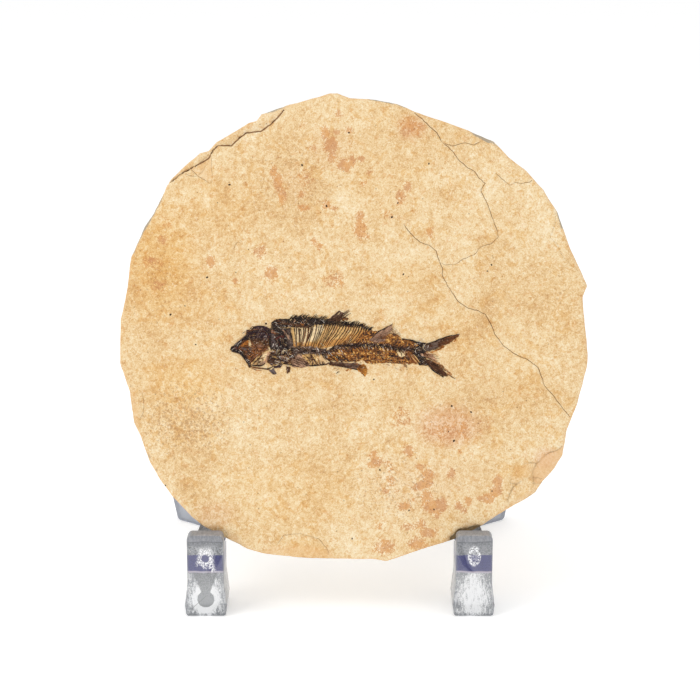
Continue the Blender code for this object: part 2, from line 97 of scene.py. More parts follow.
bpy.ops.object.select_all(action="DESELECT")
bpy.ops.mesh.primitive_plane_add(size=FLOOR_SIZE, location=(0.0, 0.0, -FLOOR_GAP))
floor = bpy.context.object
floor.name = "floor"
floor.data.materials.append(bpy.data.materials.new("white_paper"))
paper = floor.data.materials[0]
paper.use_nodes = True
for socket, value in (("Base Color", (0.93, 0.93, 0.93, 1.0)), ("Roughness", 0.9),
                      ("Emission Color", (1.0, 1.0, 1.0, 1.0)), ("Emission Strength", FLOOR_GLOW)):
    paper.node_tree.nodes["Principled BSDF"].inputs[socket].default_value = value


# --- Slab ------------------------------------------------------------------------------------
# One plate of laminated limestone, split along its bedding and trimmed round by hand, so its
# face is nearly flat, its rim is chipped, and its back is a rough split. It only rests.

SLAB_THICKNESS = 10.0
# Its outline, across and up from the centre of its face, in millimetres
SLAB_OUTLINE = (
    (-5.3, 76.2), (-1.3, 74.6), (6.4, 74.3), (13.6, 73.0), (18.8, 70.6), (29.6, 66.8), (36.7, 64.3),
    (45.2, 60.7), (47.0, 58.6), (50.0, 55.2), (55.6, 50.8), (60.9, 44.8), (65.7, 37.0), (69.7, 25.1),
    (73.7, 16.4), (74.9, 13.3), (73.4, 9.7), (74.0, 2.0), (74.9, -9.0), (74.6, -12.6), (71.4, -24.3),
    (67.8, -32.9), (66.4, -41.0), (63.9, -45.1), (60.1, -49.1), (57.7, -52.9), (53.7, -55.4),
    (45.6, -59.9), (40.0, -63.7), (31.9, -67.7), (23.9, -70.2), (15.3, -73.0), (10.3, -74.7),
    (5.8, -74.0), (-10.7, -73.8), (-19.8, -73.2), (-28.9, -72.2), (-33.9, -70.7), (-38.4, -68.4),
    (-43.5, -65.8), (-48.0, -63.5), (-51.1, -60.9), (-57.7, -54.1), (-61.8, -48.6), (-64.9, -43.5),
    (-67.9, -35.5), (-70.3, -30.4), (-71.6, -21.2), (-74.9, -11.5), (-74.8, 2.2), (-73.0, 11.2),
    (-71.6, 22.6), (-67.6, 32.4), (-64.6, 37.0), (-61.1, 43.8), (-59.4, 48.0), (-53.0, 54.2),
    (-49.9, 56.8), (-47.1, 57.5), (-44.5, 60.4), (-38.2, 64.1), (-34.0, 66.8), (-31.5, 67.4),
    (-30.0, 69.5), (-24.3, 71.9), (-18.1, 73.2), (-7.9, 76.2))

# Spalled stretches of the rim: from and to (degrees), width in from the edge, depth, greyness (a
# painted shade of the receding edge)
SPALLS = (
    (76.0, 87.0, 0.8, 1.2, 1.0), (106.0, 113.0, 1.2, 1.4, 0.9), (51.0, 60.0, 1.7, 1.9, 1.0),
    (25.0, 31.0, 0.9, 1.2, 1.0), (-50.0, -37.0, 2.2, 0.9, 0.4), (-67.0, -58.0, 3.8, 1.3, 0.0),
    (-112.0, -95.0, 6.0, 0.8, 0.0), (-126.0, -117.0, 3.4, 1.3, 0.2), (-164.0, -154.0, 2.4, 0.6, 0.0),
    (144.0, 162.0, 1.0, 1.4, 1.0), (8.0, 14.0, 0.8, 0.8, 0.5), (-150.0, -141.0, 1.6, 0.9, 0.5))

# The foot of the chipped ledge along the upper left edge
LEDGE_LINE = (
    (-63.8, 42.6), (-62.0, 45.0), (-59.4, 46.6), (-55.4, 49.8), (-51.0, 52.2), (-46.9, 54.6),
    (-45.4, 57.2), (-44.0, 58.9), (-39.5, 58.9), (-37.4, 61.0), (-34.7, 63.1), (-29.9, 63.6),
    (-26.7, 66.0), (-24.4, 68.4), (-22.6, 70.6))

# Flakes that came off the face: how deep, how pale and pink the fresh surface is (below 0, painted
# shade in brown, where the broken edge faces down), and the outline. The first is the ledge; the
# paleness of its lower strip is partly a painted highlight.
FLAKES = (
    (1.15, 0.25, LEDGE_LINE + ((-21.0, 80.0), (-50.0, 75.0), (-70.0, 55.0))),
    (0.22, 0.5, ((-52.5, 51.0), (-50.3, 48.9), (-46.2, 46.4), (-45.5, 47.9), (-45.7, 55.7),
                 (-46.9, 55.9), (-48.4, 54.4))),
    (0.50, 1.0, ((68.0, -36.5), (64.6, -39.3), (61.6, -40.3), (59.4, -42.0), (57.9, -43.6),
                 (56.4, -46.0), (57.0, -50.0), (62.0, -50.0), (70.0, -40.0))),
    (0.24, 0.4, ((57.9, -43.4), (54.8, -43.4), (51.0, -44.6), (49.9, -46.2), (49.4, -50.0),
                 (51.5, -50.0), (56.0, -47.6), (57.0, -45.6))),
    (0.35, 0.2, ((50.5, -51.0), (52.9, -49.1), (56.3, -47.8), (58.5, -48.1), (63.0, -50.0),
                 (58.0, -58.0), (50.5, -59.0), (48.5, -55.0))),
    (0.45, 0.3, ((-70.6, -19.0), (-68.6, -22.6), (-67.7, -25.6), (-68.0, -28.3), (-69.4, -31.0),
                 (-80.0, -30.0), (-78.0, -18.0))),
    (0.9, -1.6, ((30.5, -66.4), (33.0, -64.4), (36.4, -63.4), (38.4, -62.9), (41.0, -63.2),
                 (43.0, -61.4), (42.0, -70.0), (30.0, -72.0))),
    (0.2, -0.5, ((-44.6, -64.4), (-43.0, -64.0), (-40.8, -64.6), (-40.0, -66.0), (-42.0, -70.0),
                 (-45.0, -68.0))),
)

# Cracks through the face: depth and line, each painted dark brown along its groove. The first is the
# ledge's foot, where that dark line is a painted shadow of the step.
CRACKS = (
    (0.85, LEDGE_LINE),
    (0.34, (
        (13.6, 73.0), (15.7, 71.4), (18.5, 70.1), (21.8, 67.7), (24.9, 64.6), (26.7, 63.0),
        (28.5, 59.9))),
    (0.28, (
        (28.5, 59.9), (31.5, 57.3), (33.6, 54.2), (36.7, 51.5), (38.7, 50.5), (40.5, 47.9),
        (42.2, 46.4), (40.7, 44.3), (42.2, 41.2), (43.7, 37.6), (44.5, 35.0), (46.0, 30.8))),
    (0.16, (
        (46.0, 30.8), (46.3, 29.0), (44.2, 27.0), (40.6, 25.9), (38.5, 23.3), (35.2, 22.0),
        (32.4, 20.2), (29.3, 20.0), (27.3, 21.0))),
    (0.22, ((28.5, 59.9), (31.5, 58.6), (35.7, 59.8), (38.7, 59.0), (41.2, 60.4))),
    (0.26, (
        (16.1, 33.1), (18.1, 30.3), (20.7, 27.7), (24.2, 26.2), (26.3, 24.6), (27.0, 22.0),
        (28.3, 19.0), (28.3, 16.4), (30.3, 12.8), (33.3, 8.2), (36.4, 6.1), (39.5, 5.3), (42.0, 4.0),
        (43.7, 1.0), (45.0, -2.3), (47.5, -5.9), (51.5, -8.8), (55.1, -10.3), (58.6, -12.8),
        (59.6, -15.6), (60.6, -18.7), (63.6, -22.2), (66.6, -26.3), (69.3, -29.4))),
    (0.2, (
        (58.2, 48.2), (56.6, 46.9), (53.5, 46.4), (52.0, 46.9), (50.2, 45.8), (47.9, 47.7),
        (45.6, 49.8))),
    (0.1, (
        (64.7, 39.6), (64.7, 33.9), (63.6, 30.8), (62.8, 29.0), (65.1, 26.7), (66.6, 23.1),
        (69.1, 20.5), (72.2, 17.4))),
    (0.24, ((-52.9, 51.3), (-51.9, 50.6), (-50.3, 48.9), (-46.2, 46.4))),
    (0.16, (
        (-54.6, 50.0), (-53.4, 49.2), (-52.2, 48.7), (-50.3, 48.9), (-48.8, 50.2), (-46.8, 53.6))),
    (0.14, ((-45.7, 55.7), (-45.9, 52.0), (-45.5, 47.9))),
    (0.14, (
        (-24.6, -69.5), (-22.2, -66.2), (-17.2, -65.7), (-11.2, -67.3), (-8.4, -70.6),
        (-7.8, -72.6))),
    (0.12, ((-38.8, 24.4), (-38.2, 25.8), (-37.6, 27.1), (-36.8, 27.4), (-35.8, 26.8))),
    (0.12, ((-67.5, -20.6), (-66.9, -23.6), (-66.9, -27.0), (-68.2, -30.2))),
    (0.1, ((-73.9, 16.8), (-72.3, 18.4), (-71.0, 19.2), (-69.9, 21.5), (-69.6, 24.5))),
)

# Rusty iron stains: across, up, reach across, reach up, strength
STAINS = (
    (-9.3, 62.9, 1.1, 1.9, 1.0), (-5.5, 63.2, 1.1, 0.8, 0.8), (-7.4, 59.0, 2.2, 2.2, 0.9),
    (-7.1, 55.4, 1.3, 1.9, 0.8), (-3.2, 52.4, 1.9, 1.9, 0.9), (-0.6, 53.4, 1.0, 1.9, 0.8),
    (2.3, 54.5, 1.1, 1.0, 0.8), (-1.6, 63.9, 1.3, 1.0, 0.7), (-13.2, 58.0, 1.6, 1.0, 0.5),
    (5.8, 50.1, 1.9, 1.3, 0.5), (3.2, 46.6, 1.0, 1.3, 0.6), (17.0, 45.3, 1.3, 1.6, 0.8),
    (15.1, 42.3, 1.6, 1.9, 0.7), (14.4, 40.4, 1.0, 1.0, 0.8), (10.6, 36.5, 1.3, 1.3, 0.5),
    (12.8, 35.5, 1.9, 0.8, 0.6), (-9.0, 39.4, 1.1, 1.3, 0.9), (-6.6, 38.4, 1.0, 1.0, 0.7),
    (1.9, 35.5, 1.3, 1.9, 0.8), (1.9, 31.6, 1.6, 2.6, 1.0), (3.9, 29.3, 1.3, 1.0, 0.8),
    (-12.8, 27.7, 1.0, 1.3, 0.8), (-10.9, 25.8, 1.0, 1.3, 0.7), (24.4, 30.6, 1.1, 1.6, 0.8),
    (18.7, 64.8, 3.8, 2.9, 0.6), (-4.8, 69.1, 1.6, 1.3, 0.6), (-15.7, 48.2, 2.9, 2.6, 0.5),
    (-16.7, 43.0, 1.3, 1.3, 0.7), (-16.4, 38.4, 1.9, 1.0, 0.8), (-26.0, 50.1, 1.0, 1.9, 0.9),
    (-24.4, 46.9, 1.2, 2.4, 1.0), (-23.1, 42.3, 1.2, 2.2, 0.9), (-30.1, 24.2, 1.9, 1.9, 0.7),
    (-26.5, 17.4, 1.9, 2.2, 0.8), (-6.4, 15.1, 2.9, 2.6, 0.6), (-45.9, 21.1, 1.1, 1.6, 1.0),
    (-38.0, 14.8, 0.8, 0.8, 0.9), (-60.6, 33.9, 1.9, 1.9, 0.5), (-61.5, 28.1, 2.2, 1.6, 0.6),
    (-64.6, 20.9, 2.9, 2.2, 0.6), (-63.0, 13.5, 3.2, 1.9, 0.5), (-50.9, 28.1, 2.6, 1.6, 0.3),
    (6.2, -41.1, 1.0, 1.6, 0.8), (7.3, -42.9, 1.6, 1.6, 0.8), (5.5, -43.8, 1.3, 1.0, 0.8),
    (10.5, -43.4, 1.3, 1.0, 0.6), (11.4, -45.6, 1.0, 1.3, 0.6), (11.6, -48.8, 1.3, 1.9, 0.6),
    (10.0, -52.2, 1.3, 0.8, 0.8), (13.3, -52.3, 0.8, 0.8, 0.6), (17.3, -39.3, 1.6, 1.9, 0.8),
    (21.2, -44.7, 1.4, 1.0, 0.8), (23.4, -47.2, 1.9, 1.9, 0.9), (23.1, -49.7, 1.9, 1.6, 0.9),
    (20.6, -51.0, 1.9, 1.3, 0.9), (30.8, -46.6, 1.3, 1.6, 0.8), (33.6, -39.7, 0.6, 0.6, 0.8),
    (45.6, -49.4, 1.3, 1.9, 1.0), (44.9, -52.3, 1.6, 1.6, 1.0), (42.6, -54.7, 1.9, 1.3, 1.0),
    (40.0, -54.6, 1.0, 0.6, 0.9), (23.1, -54.1, 1.6, 1.6, 0.9), (24.3, -57.0, 2.2, 1.9, 1.0),
    (27.5, -56.7, 1.6, 1.9, 1.0), (26.2, -59.5, 1.3, 1.3, 0.8), (18.7, -55.1, 1.0, 0.6, 0.7),
    (15.9, -57.1, 1.9, 1.0, 0.9), (33.1, -56.9, 1.1, 1.3, 0.9), (34.5, -58.3, 1.3, 1.0, 0.7),
    (36.2, -55.5, 1.0, 1.3, 0.9), (6.0, -60.8, 1.6, 0.6, 0.5), (17.7, -63.6, 2.9, 1.3, 0.6),
    (21.3, -62.8, 1.6, 1.6, 0.7), (23.6, -65.5, 2.6, 1.3, 0.9), (8.6, -63.6, 1.6, 1.6, 0.5),
    (9.6, -69.9, 2.9, 2.2, 0.8), (19.9, -69.1, 2.6, 1.9, 0.8), (15.2, -29.1, 2.9, 3.8, 0.5),
    (30.5, -33.5, 8.3, 3.8, 0.5), (41.3, -30.7, 2.9, 2.6, 0.4))

# Dark specks: across, up, radius
SPECKS = (
    (-40.0, 46.0, 0.43), (-58.6, 4.0, 0.43), (-16.7, 52.4, 0.43), (-50.5, -5.6, 0.29),
    (12.2, 35.5, 0.43), (24.1, 52.9, 0.36), (44.0, 20.0, 0.36), (42.7, 18.0, 0.29),
    (15.8, 17.0, 0.36), (31.1, -25.3, 0.40), (37.2, -27.2, 0.40), (6.3, -16.8, 0.33),
    (-0.6, -67.3, 0.33), (-59.7, -50.5, 0.36), (-1.6, 63.0, 0.36), (14.1, 40.1, 0.33),
    (-8.8, 39.1, 0.43), (-37.8, 17.6, 0.21), (-47.0, 16.0, 0.43), (31.7, -36.2, 0.58),
    (25.3, -58.1, 0.33), (43.7, -52.3, 0.29), (17.4, -58.4, 0.33), (8.2, -45.6, 0.36),
    (-54.0, 6.8, 0.25), (-43.8, 40.1, 0.21), (30.0, -33.4, 0.25), (-33.8, 25.0, 0.21))

# Broad changes of colour: kind, across, up, reach across, reach up, strength
TINTS = (
    ("golden", -61.8, 19.8, 15.0, 25.0, 0.75), ("golden", -64.4, 21.4, 3.5, 4.5, 0.9),
    ("golden", -52.0, 8.0, 14.0, 10.0, 0.4), ("golden", 55.0, -16.0, 12.0, 14.0, 0.3),
    ("golden", -44.0, 38.0, 18.0, 14.0, 0.4), ("golden", 66.0, 6.0, 8.0, 16.0, 0.2),
    ("golden", -54.0, -18.0, 17.0, 13.0, 0.6), ("golden", -22.0, -54.0, 30.0, 15.0, 0.4),
    ("golden", 16.0, 15.0, 10.0, 8.0, 0.35), ("golden", 32.0, 0.0, 10.0, 8.0, 0.35),
    ("golden", 10.0, 46.0, 20.0, 12.0, 0.25), ("golden", -16.0, -71.0, 9.0, 4.5, 0.6),
    ("golden", 52.0, -46.0, 4.0, 3.0, 0.8), ("pinkish", 30.0, -31.5, 12.0, 8.0, 0.9),
    ("pinkish", 18.7, 64.7, 6.0, 5.0, 0.7), ("pinkish", -20.0, 47.0, 8.0, 7.0, 0.3),
    ("pinkish", 61.0, -42.0, 5.0, 4.0, 0.8), ("pinkish", -44.0, -60.0, 9.0, 6.0, 0.5),
    ("pinkish", 22.0, -50.0, 22.0, 14.0, 0.25), ("pinkish", -8.0, 58.0, 10.0, 9.0, 0.3),
    ("freckled", -53.0, -30.0, 17.0, 14.0, 0.9), ("freckled", -62.0, 12.0, 10.0, 14.0, 0.5),
    ("freckled", 15.0, -52.0, 20.0, 12.0, 0.6), ("freckled", 32.0, -30.0, 14.0, 9.0, 0.5),
    ("freckled", -20.0, 48.0, 18.0, 16.0, 0.5), ("freckled", 66.0, 12.0, 6.0, 12.0, 0.4),
    ("pale", 36.7, 14.2, 9.0, 10.0, 0.8), ("pale", 10.0, 22.0, 20.0, 10.0, 0.4),
    ("pale", -8.0, -34.0, 22.0, 10.0, 0.5), ("pale", 60.0, 30.0, 9.0, 12.0, 0.5),
    ("pale", 48.0, -8.0, 11.0, 26.0, 0.5), ("pale", 38.0, -54.0, 15.0, 13.0, 0.5),
    ("pale", 0.0, -17.0, 12.0, 8.0, 0.6), ("pale", -26.0, 8.0, 12.0, 6.0, 0.5),
    ("pale", -50.0, 60.0, 10.0, 8.0, 0.5))

RING_STEP = 0.55                             # spacing of the rim's points
FACE_STEP = 0.64
BACK_STEP = 1.15
CRACK_STEP = 0.32
FLAKE_STEP = 0.3
HONEYCOMB_REACH = 76.0                       # the points are laid out this far each way
HONEYCOMB_ROW = 0.87                         # from row to row, and the shake of the points, in steps
JITTER = 0.12
RIM_ROWS = (0.0, 0.3, 0.65, 1.1, 1.65)       # rows of points in from the edge
WALL_ROWS = 22
POINT_GAP = 0.27                             # least distance from the cracks and specks to a point
SPECK_GAP = 0.15                             # of the face, and from the specks to one of a crack

NIBBLE = 0.30                                # how far the trimming bit into the outline, and its
NIBBLE_CHANGE = 0.16                         # changes along the edge
RIM_WIDTH = 0.8                              # usual width and depth of the worn rim
RIM_DEPTH = 0.42
RIM_DEEPEST = 2.2
RIM_TERRACE = 0.38                           # height of the steps that it breaks in
CALM_CENTRE = (-3.0, -7.0)                   # the face is level round the fish: across and up
CALM_REACH = (34.0, 12.0)
CALM_END = (44.0, 24.0)
SWELL = 0.18                                 # heights of the face's broad swells, of its unevenness
UNEVENNESS = 0.10                            # and of its grain
GRAININESS = 0.022
LAYER_UP = 0.09                              # steps where another layer shows
LAYER_DOWN = 0.08
CRACK_HALF_WIDTH = 0.17
CRACK_WANDER = 0.16
LEDGE_HALF_WIDTH = 0.45
# The fine line round a flake's scar is painted shade of its step
FLAKE_EDGE = 0.12                            # depth of the fine line round a flake's scar
SPECK_SIDES = 6
SPECK_LONG = 1.35                            # specks are longer one way than the other
SPECK_SHORT = 0.9
SPECK_TURN = 0.9                             # from each speck to the next, in radians
LAMINA = 0.9                                 # usual thickness of the rock's layers
BACK_INSET = 0.9                             # how much smaller the back is than the face
BACK_TERRACE = 0.34
BACK_ALLOWANCE = 0.75                        # room for the rough split within the slab's thickness
BACK_ROUGHNESS = 0.7
WALL_LARGEST_INSET = 2.4


def cloud(points, size, seed=0.0):
    """Smooth noise from -1 to 1 at each point, with bumps of about the given size."""
    spots = np.asarray(points, float) / size + np.array((seed * 7.3, seed * 3.1, seed * 5.7))
    return np.array([noise.noise(spot) for spot in spots])


def rough(points, size, octaves, seed=0.0):
    """Several sizes of noise on top of each other, each half the one before."""
    total = 0.0
    for octave in range(octaves):
        total = total + cloud(points, size / 2 ** octave, seed + octave) / 2 ** octave
    return total


def smooth(low, high, value):
    """0 below low, 1 above high, with a smooth rise between."""
    share = np.clip((value - low) / (high - low), 0.0, 1.0)
    return share * share * (3.0 - 2.0 * share)


def terraced(height, step, level):
    """The same height in steps, each of them level over a share of its width."""
    return step * (np.floor(height / step) + smooth(level, 1.0, height / step % 1.0))


def resampled(points, step, closed=False):
    """Points at even steps along a broken line."""
    line = np.array(points + points[:1] if closed else points, float)
    lengths = np.hypot(*np.diff(line, axis=0).T)
    travelled = np.concatenate(([0.0], np.cumsum(lengths)))
    count = max(3, round(travelled[-1] / step))
    marks = np.linspace(0.0, travelled[-1], count, endpoint=not closed)
    return np.column_stack([np.interp(marks, travelled, line[:, axis]) for axis in (0, 1)])


def depth_inside(polygon, across, up):
    """Distance to a polygon's edge: positive inside it, negative outside."""
    corners = np.array(polygon, float)
    nearest = np.full(len(across), 1e9)
    crossings = np.zeros(len(across), int)
    for (x0, y0), (x1, y1) in zip(corners, np.roll(corners, -1, axis=0)):
        run = np.array((x1 - x0, y1 - y0))
        share = np.clip(((across - x0) * run[0] + (up - y0) * run[1]) / (run @ run), 0.0, 1.0)
        nearest = np.minimum(nearest, np.hypot(across - x0 - share * run[0], up - y0 - share * run[1]))
        if y0 != y1:
            reached = x0 + (up - y0) * (x1 - x0) / (y1 - y0)
            crossings += ((y0 > up) != (y1 > up)) & (across < reached)
    return np.where(crossings % 2 == 1, nearest, -nearest)


def flat_points(across, up):
    return np.column_stack((across, up, np.zeros(len(across))))


def on_slab(across, depth, up):
    """World places of points given in the slab's own millimetres."""
    y = depth * math.cos(LEAN) + up * math.sin(LEAN)
    z = up * math.cos(LEAN) - depth * math.sin(LEAN)
    return np.column_stack((across, y, z)) * MM + np.array(SLAB_CENTRE)


ring = resampled(list(SLAB_OUTLINE), RING_STEP, closed=True)
ring_angle = np.degrees(np.arctan2(ring[:, 1], ring[:, 0]))
ring_reach = np.hypot(ring[:, 0], ring[:, 1])
ring_points = flat_points(ring[:, 0], ring[:, 1])
nibble = NIBBLE + NIBBLE_CHANGE * rough(ring_points, 5.0, 4, 1.0)
ring_reach = ring_reach - np.clip(nibble, 0.0, 2 * NIBBLE)
ring = ring * (ring_reach / np.hypot(ring[:, 0], ring[:, 1]))[:, None]

rim_width = RIM_WIDTH + 0.45 * rough(ring_points, 6.0, 3, 2.0)
rim_depth = RIM_DEPTH + 0.2 * rough(ring_points, 4.0, 3, 3.0)
rim_grey_and_shade = np.clip(0.35 * cloud(ring_points, 9.0, 3.5), 0.0, 0.4)
for first, last, width, depth, greyness_and_shade in SPALLS:
    share = np.clip((ring_angle - first) / (last - first), 0.0, 1.0)
    swell = np.sin(math.pi * share) ** 0.4
    rim_width = np.maximum(rim_width, width * swell * (1.0 + 0.35 * rough(ring_points, 5.0, 3, 4.0)))
    rim_depth = np.maximum(rim_depth, depth * swell)
    rim_grey_and_shade = np.maximum(rim_grey_and_shade, greyness_and_shade * swell)
rim_width = np.maximum(rim_width, 0.35)
rim_depth = np.clip(rim_depth, 0.15, RIM_DEEPEST)
order = np.argsort(ring_angle)


def around(values, across, up):
    """A value given along the rim, at the directions of the given points."""
    return np.interp(np.degrees(np.arctan2(up, across)), ring_angle[order], values[order], period=360)


def face_relief(across, up):
    """Height of the front face over its middle plane, how freshly broken it is (below 0: how much
    painted shade it has), and how grey it is with weathering and painted shade.
    """
    points = flat_points(across, up)
    aside = [smooth(reach, end, np.abs(value - centre)) for value, centre, reach, end
             in zip((across, up), CALM_CENTRE, CALM_REACH, CALM_END)]
    calm = np.clip(aside[1] + aside[0], 0.0, 1.0)
    height = SWELL * np.sin(across / 19.0 + 1.0) * np.cos(up / 14.0) * calm
    height += calm * UNEVENNESS * rough(points, 16.0, 3, 6.0) + GRAININESS * rough(points, 2.6, 3, 9.0)
    layer = rough(points, 22.0, 4, 12.0)
    height += LAYER_UP * calm * smooth(0.18, 0.24, layer)
    height -= LAYER_DOWN * calm * smooth(0.42, 0.46, -layer)

    fresh = np.zeros(len(across))
    for flake_depth, paleness_light_and_shade, outline in FLAKES:
        wobble = 0.3 * rough(points, 2.2, 3, 14.0)
        inside = depth_inside(outline, across, up) + wobble
        gone = smooth(-0.1, 0.22, inside)
        height -= flake_depth * gone * (1.0 + 0.15 * rough(points, 3.0, 3, 15.0))
        fresh = np.where(np.abs(paleness_light_and_shade) * gone > np.abs(fresh), paleness_light_and_shade * gone, fresh)

    reach = np.hypot(across, up)
    inward = around(ring_reach, across, up) - reach
    width = around(rim_width, across, up)
    depth = around(rim_depth, across, up)
    share = np.clip(1.0 - inward / width + 0.18 * rough(points, 1.7, 3, 17.0), 0.0, 1.0)
    drop = depth * share ** 1.35
    height -= 0.35 * drop + 0.65 * terraced(drop, RIM_TERRACE, 0.55)
    broken = (share > 0.12) & (fresh >= 0.0)
    fresh = np.where(broken, np.maximum(fresh, 0.55 * smooth(0.1, 0.5, share)), fresh)
    weathered = around(rim_grey_and_shade, across, up) * smooth(0.2, 0.5, share)
    return height, fresh, weathered


def honeycomb(step, seed):
    """Points in a jittered honeycomb over the whole slab."""
    shaker = np.random.default_rng(seed)
    columns = np.arange(-HONEYCOMB_REACH, HONEYCOMB_REACH, step)
    rows = np.arange(-HONEYCOMB_REACH, HONEYCOMB_REACH + 1.0, step * HONEYCOMB_ROW)
    across, up = np.meshgrid(columns, rows)
    across[1::2] += step / 2
    across = across.ravel() + shaker.uniform(-JITTER, JITTER, across.size) * step
    up = up.ravel() + shaker.uniform(-JITTER, JITTER, up.size) * step
    return across, up


def within_rim(across, up, margin):
    return np.hypot(across, up) < around(ring_reach, across, up) - margin


def away_from(across, up, others, distance):
    """Whether each point is further than distance from every one of the others."""
    clear = np.ones(len(across), bool)
    for start in range(0, len(across), 4000):
        part = slice(start, start + 4000)
        gaps = (across[part, None] - others[:, 0]) ** 2 + (up[part, None] - others[:, 1]) ** 2
        clear[part] = gaps.min(axis=1) > distance ** 2
    return clear


# Rows of points along each crack, so that the mesh itself is grooved
crack_rows = []
crack_marks = []
for groove_depth, line in CRACKS:
    half_width = LEDGE_HALF_WIDTH if line is LEDGE_LINE else CRACK_HALF_WIDTH
    path = resampled(list(line), CRACK_STEP)
    ahead = np.gradient(path, axis=0)
    sideways = np.column_stack((-ahead[:, 1], ahead[:, 0])) / np.hypot(*ahead.T)[:, None]
    path = path + sideways * (CRACK_WANDER * rough(flat_points(*path.T), 1.6, 3, 20.0))[:, None]
    to_end = np.minimum(np.arange(len(path)), np.arange(len(path))[::-1]) * CRACK_STEP
    fade = (0.5 + 0.5 * smooth(0.0, 1.5, to_end)) * (0.85 + 0.4 * cloud(flat_points(*path.T), 3.0, 21.0))
    for side in (-1.0, 0.0, 1.0):
        row = path + sideways * side * half_width
        depth = groove_depth * fade if side == 0.0 else np.zeros(len(path))
        kept = within_rim(row[:, 0], row[:, 1], 0.5)
        crack_rows.append(row[kept])
        crack_marks.append(depth[kept])
# Rows round each flake's scar, whose dark line is painted shade of the step
for _, _, outline in FLAKES[1:]:
    path = resampled(list(outline), FLAKE_STEP, closed=True)
    kept = within_rim(path[:, 0], path[:, 1], 0.5)
    crack_rows.append(path[kept])
    crack_marks.append(FLAKE_EDGE * np.clip(0.6 + cloud(flat_points(*path[kept].T), 4.0, 23.0), 0, 1))
speck_rows = []
for index, (across, up, radius) in enumerate(SPECKS):
    turns = np.linspace(0.0, math.tau, SPECK_SIDES + 1)[:-1]
    slant = SPECK_TURN * index
    long_way = SPECK_LONG * radius * np.cos(turns)
    short_way = SPECK_SHORT * radius * np.sin(turns)
    speck_rows.append(np.array([(across, up)]))
    speck_rows.append(np.column_stack((
        across + long_way * math.cos(slant) - short_way * math.sin(slant),
        up + long_way * math.sin(slant) + short_way * math.cos(slant))))
crack_points = np.concatenate(crack_rows)
speck_points = np.concatenate(speck_rows)
kept = away_from(crack_points[:, 0], crack_points[:, 1], speck_points, SPECK_GAP)
crack_points = crack_points[kept]
crack_depth = np.concatenate(crack_marks)[kept]

rim_points = np.concatenate([ring * (1.0 - row / ring_reach)[:, None] for row in RIM_ROWS])
across, up = honeycomb(FACE_STEP, seed=5)
kept = within_rim(across, up, RIM_ROWS[-1] + 0.35)
across, up = across[kept], up[kept]
kept = away_from(across, up, np.concatenate((crack_points, speck_points)), POINT_GAP)
face_points = np.concatenate((rim_points, crack_points, speck_points,
                              np.column_stack((across[kept], up[kept]))))


def triangulated(points, ring_count):
    """Triangles over the points, inside the ring that its first points make."""
    sides = [(index, (index + 1) % ring_count) for index in range(ring_count)]
    flat = [Vector(point) for point in points]
    places, _, triangles, origins, _, _ = delaunay_2d_cdt(flat, sides, [], 1, 1e-7)
    sources = [origin[0] for origin in origins]
    return [[sources[index] for index in triangle] for triangle in triangles]


face_height, face_fresh_light_and_shade, face_grey_and_shade = face_relief(face_points[:, 0], face_points[:, 1])
first_speck = len(rim_points) + len(crack_points)
groove = np.zeros(len(face_points))
groove[len(rim_points):first_speck] = crack_depth
face_height = face_height - groove
speck = np.zeros(len(face_points))           # 1 in the middle of each speck
speck[first_speck:first_speck + len(speck_points):SPECK_SIDES + 1] = 1.0
ring_count = len(ring)
face_triangles = triangulated(face_points, ring_count)

# The back, and the wall of broken layers between the two
wall_top = -face_height[:ring_count]
back_inset = np.clip(BACK_INSET + 0.5 * rough(ring_points, 9.0, 4, 30.0), 0.2, RIM_DEEPEST)
back_ring = ring * (1.0 - back_inset / ring_reach)[:, None]
across, up = honeycomb(BACK_STEP, seed=8)
kept = within_rim(across, up, 3.0)
back_points = np.concatenate((back_ring, back_ring * 0.988, back_ring * 0.972,
                              np.column_stack((across[kept], up[kept]))))
spots = flat_points(back_points[:, 0], back_points[:, 1])
split = terraced(rough(spots, 34.0, 5, 33.0) * 1.3, BACK_TERRACE, 0.6) * 0.5
back_inward = around(ring_reach, back_points[:, 0], back_points[:, 1]) - np.hypot(*back_points.T)
back_depth = SLAB_THICKNESS - BACK_ALLOWANCE + np.clip(split, -BACK_ROUGHNESS, BACK_ROUGHNESS)
back_depth += 0.05 * rough(spots, 2.0, 3, 35.0)
back_depth -= 0.5 * smooth(4.0, 0.6, back_inward)
back_triangles = triangulated(back_points, ring_count)

wall_rows = []
for row in range(1, WALL_ROWS):
    share = row / WALL_ROWS
    depth = wall_top + share * (back_depth[:ring_count] - wall_top)
    depth = depth + 0.1 * cloud(ring_points, 4.0, 40.0 + row) * math.sin(math.pi * share)
    layer = np.floor(depth / LAMINA + 0.6 * cloud(ring_points, 30.0, 50.0))
    shift = np.array([noise.noise((x / 7.0, y / 7.0, z * 1.9)) for (x, y, _), z
                      in zip(ring_points, layer)])
    bulge = 0.5 + 0.55 * cloud(flat_points(*ring.T), 13.0, 52.0)
    inset = bulge * math.sin(math.pi * share * 0.5) * 1.1 + 0.55 * (shift + 0.4) * smooth(0, 0.15, share)
    inset = inset + 0.14 * rough(np.column_stack((ring, depth * 2.0)), 1.8, 3, 54.0)
    inset = np.clip(inset + share ** 3 * back_inset * 0.6, 0.0, WALL_LARGEST_INSET)
    placed = ring * (1.0 - inset / ring_reach)[:, None]
    wall_rows.append(on_slab(placed[:, 0], depth, placed[:, 1]))

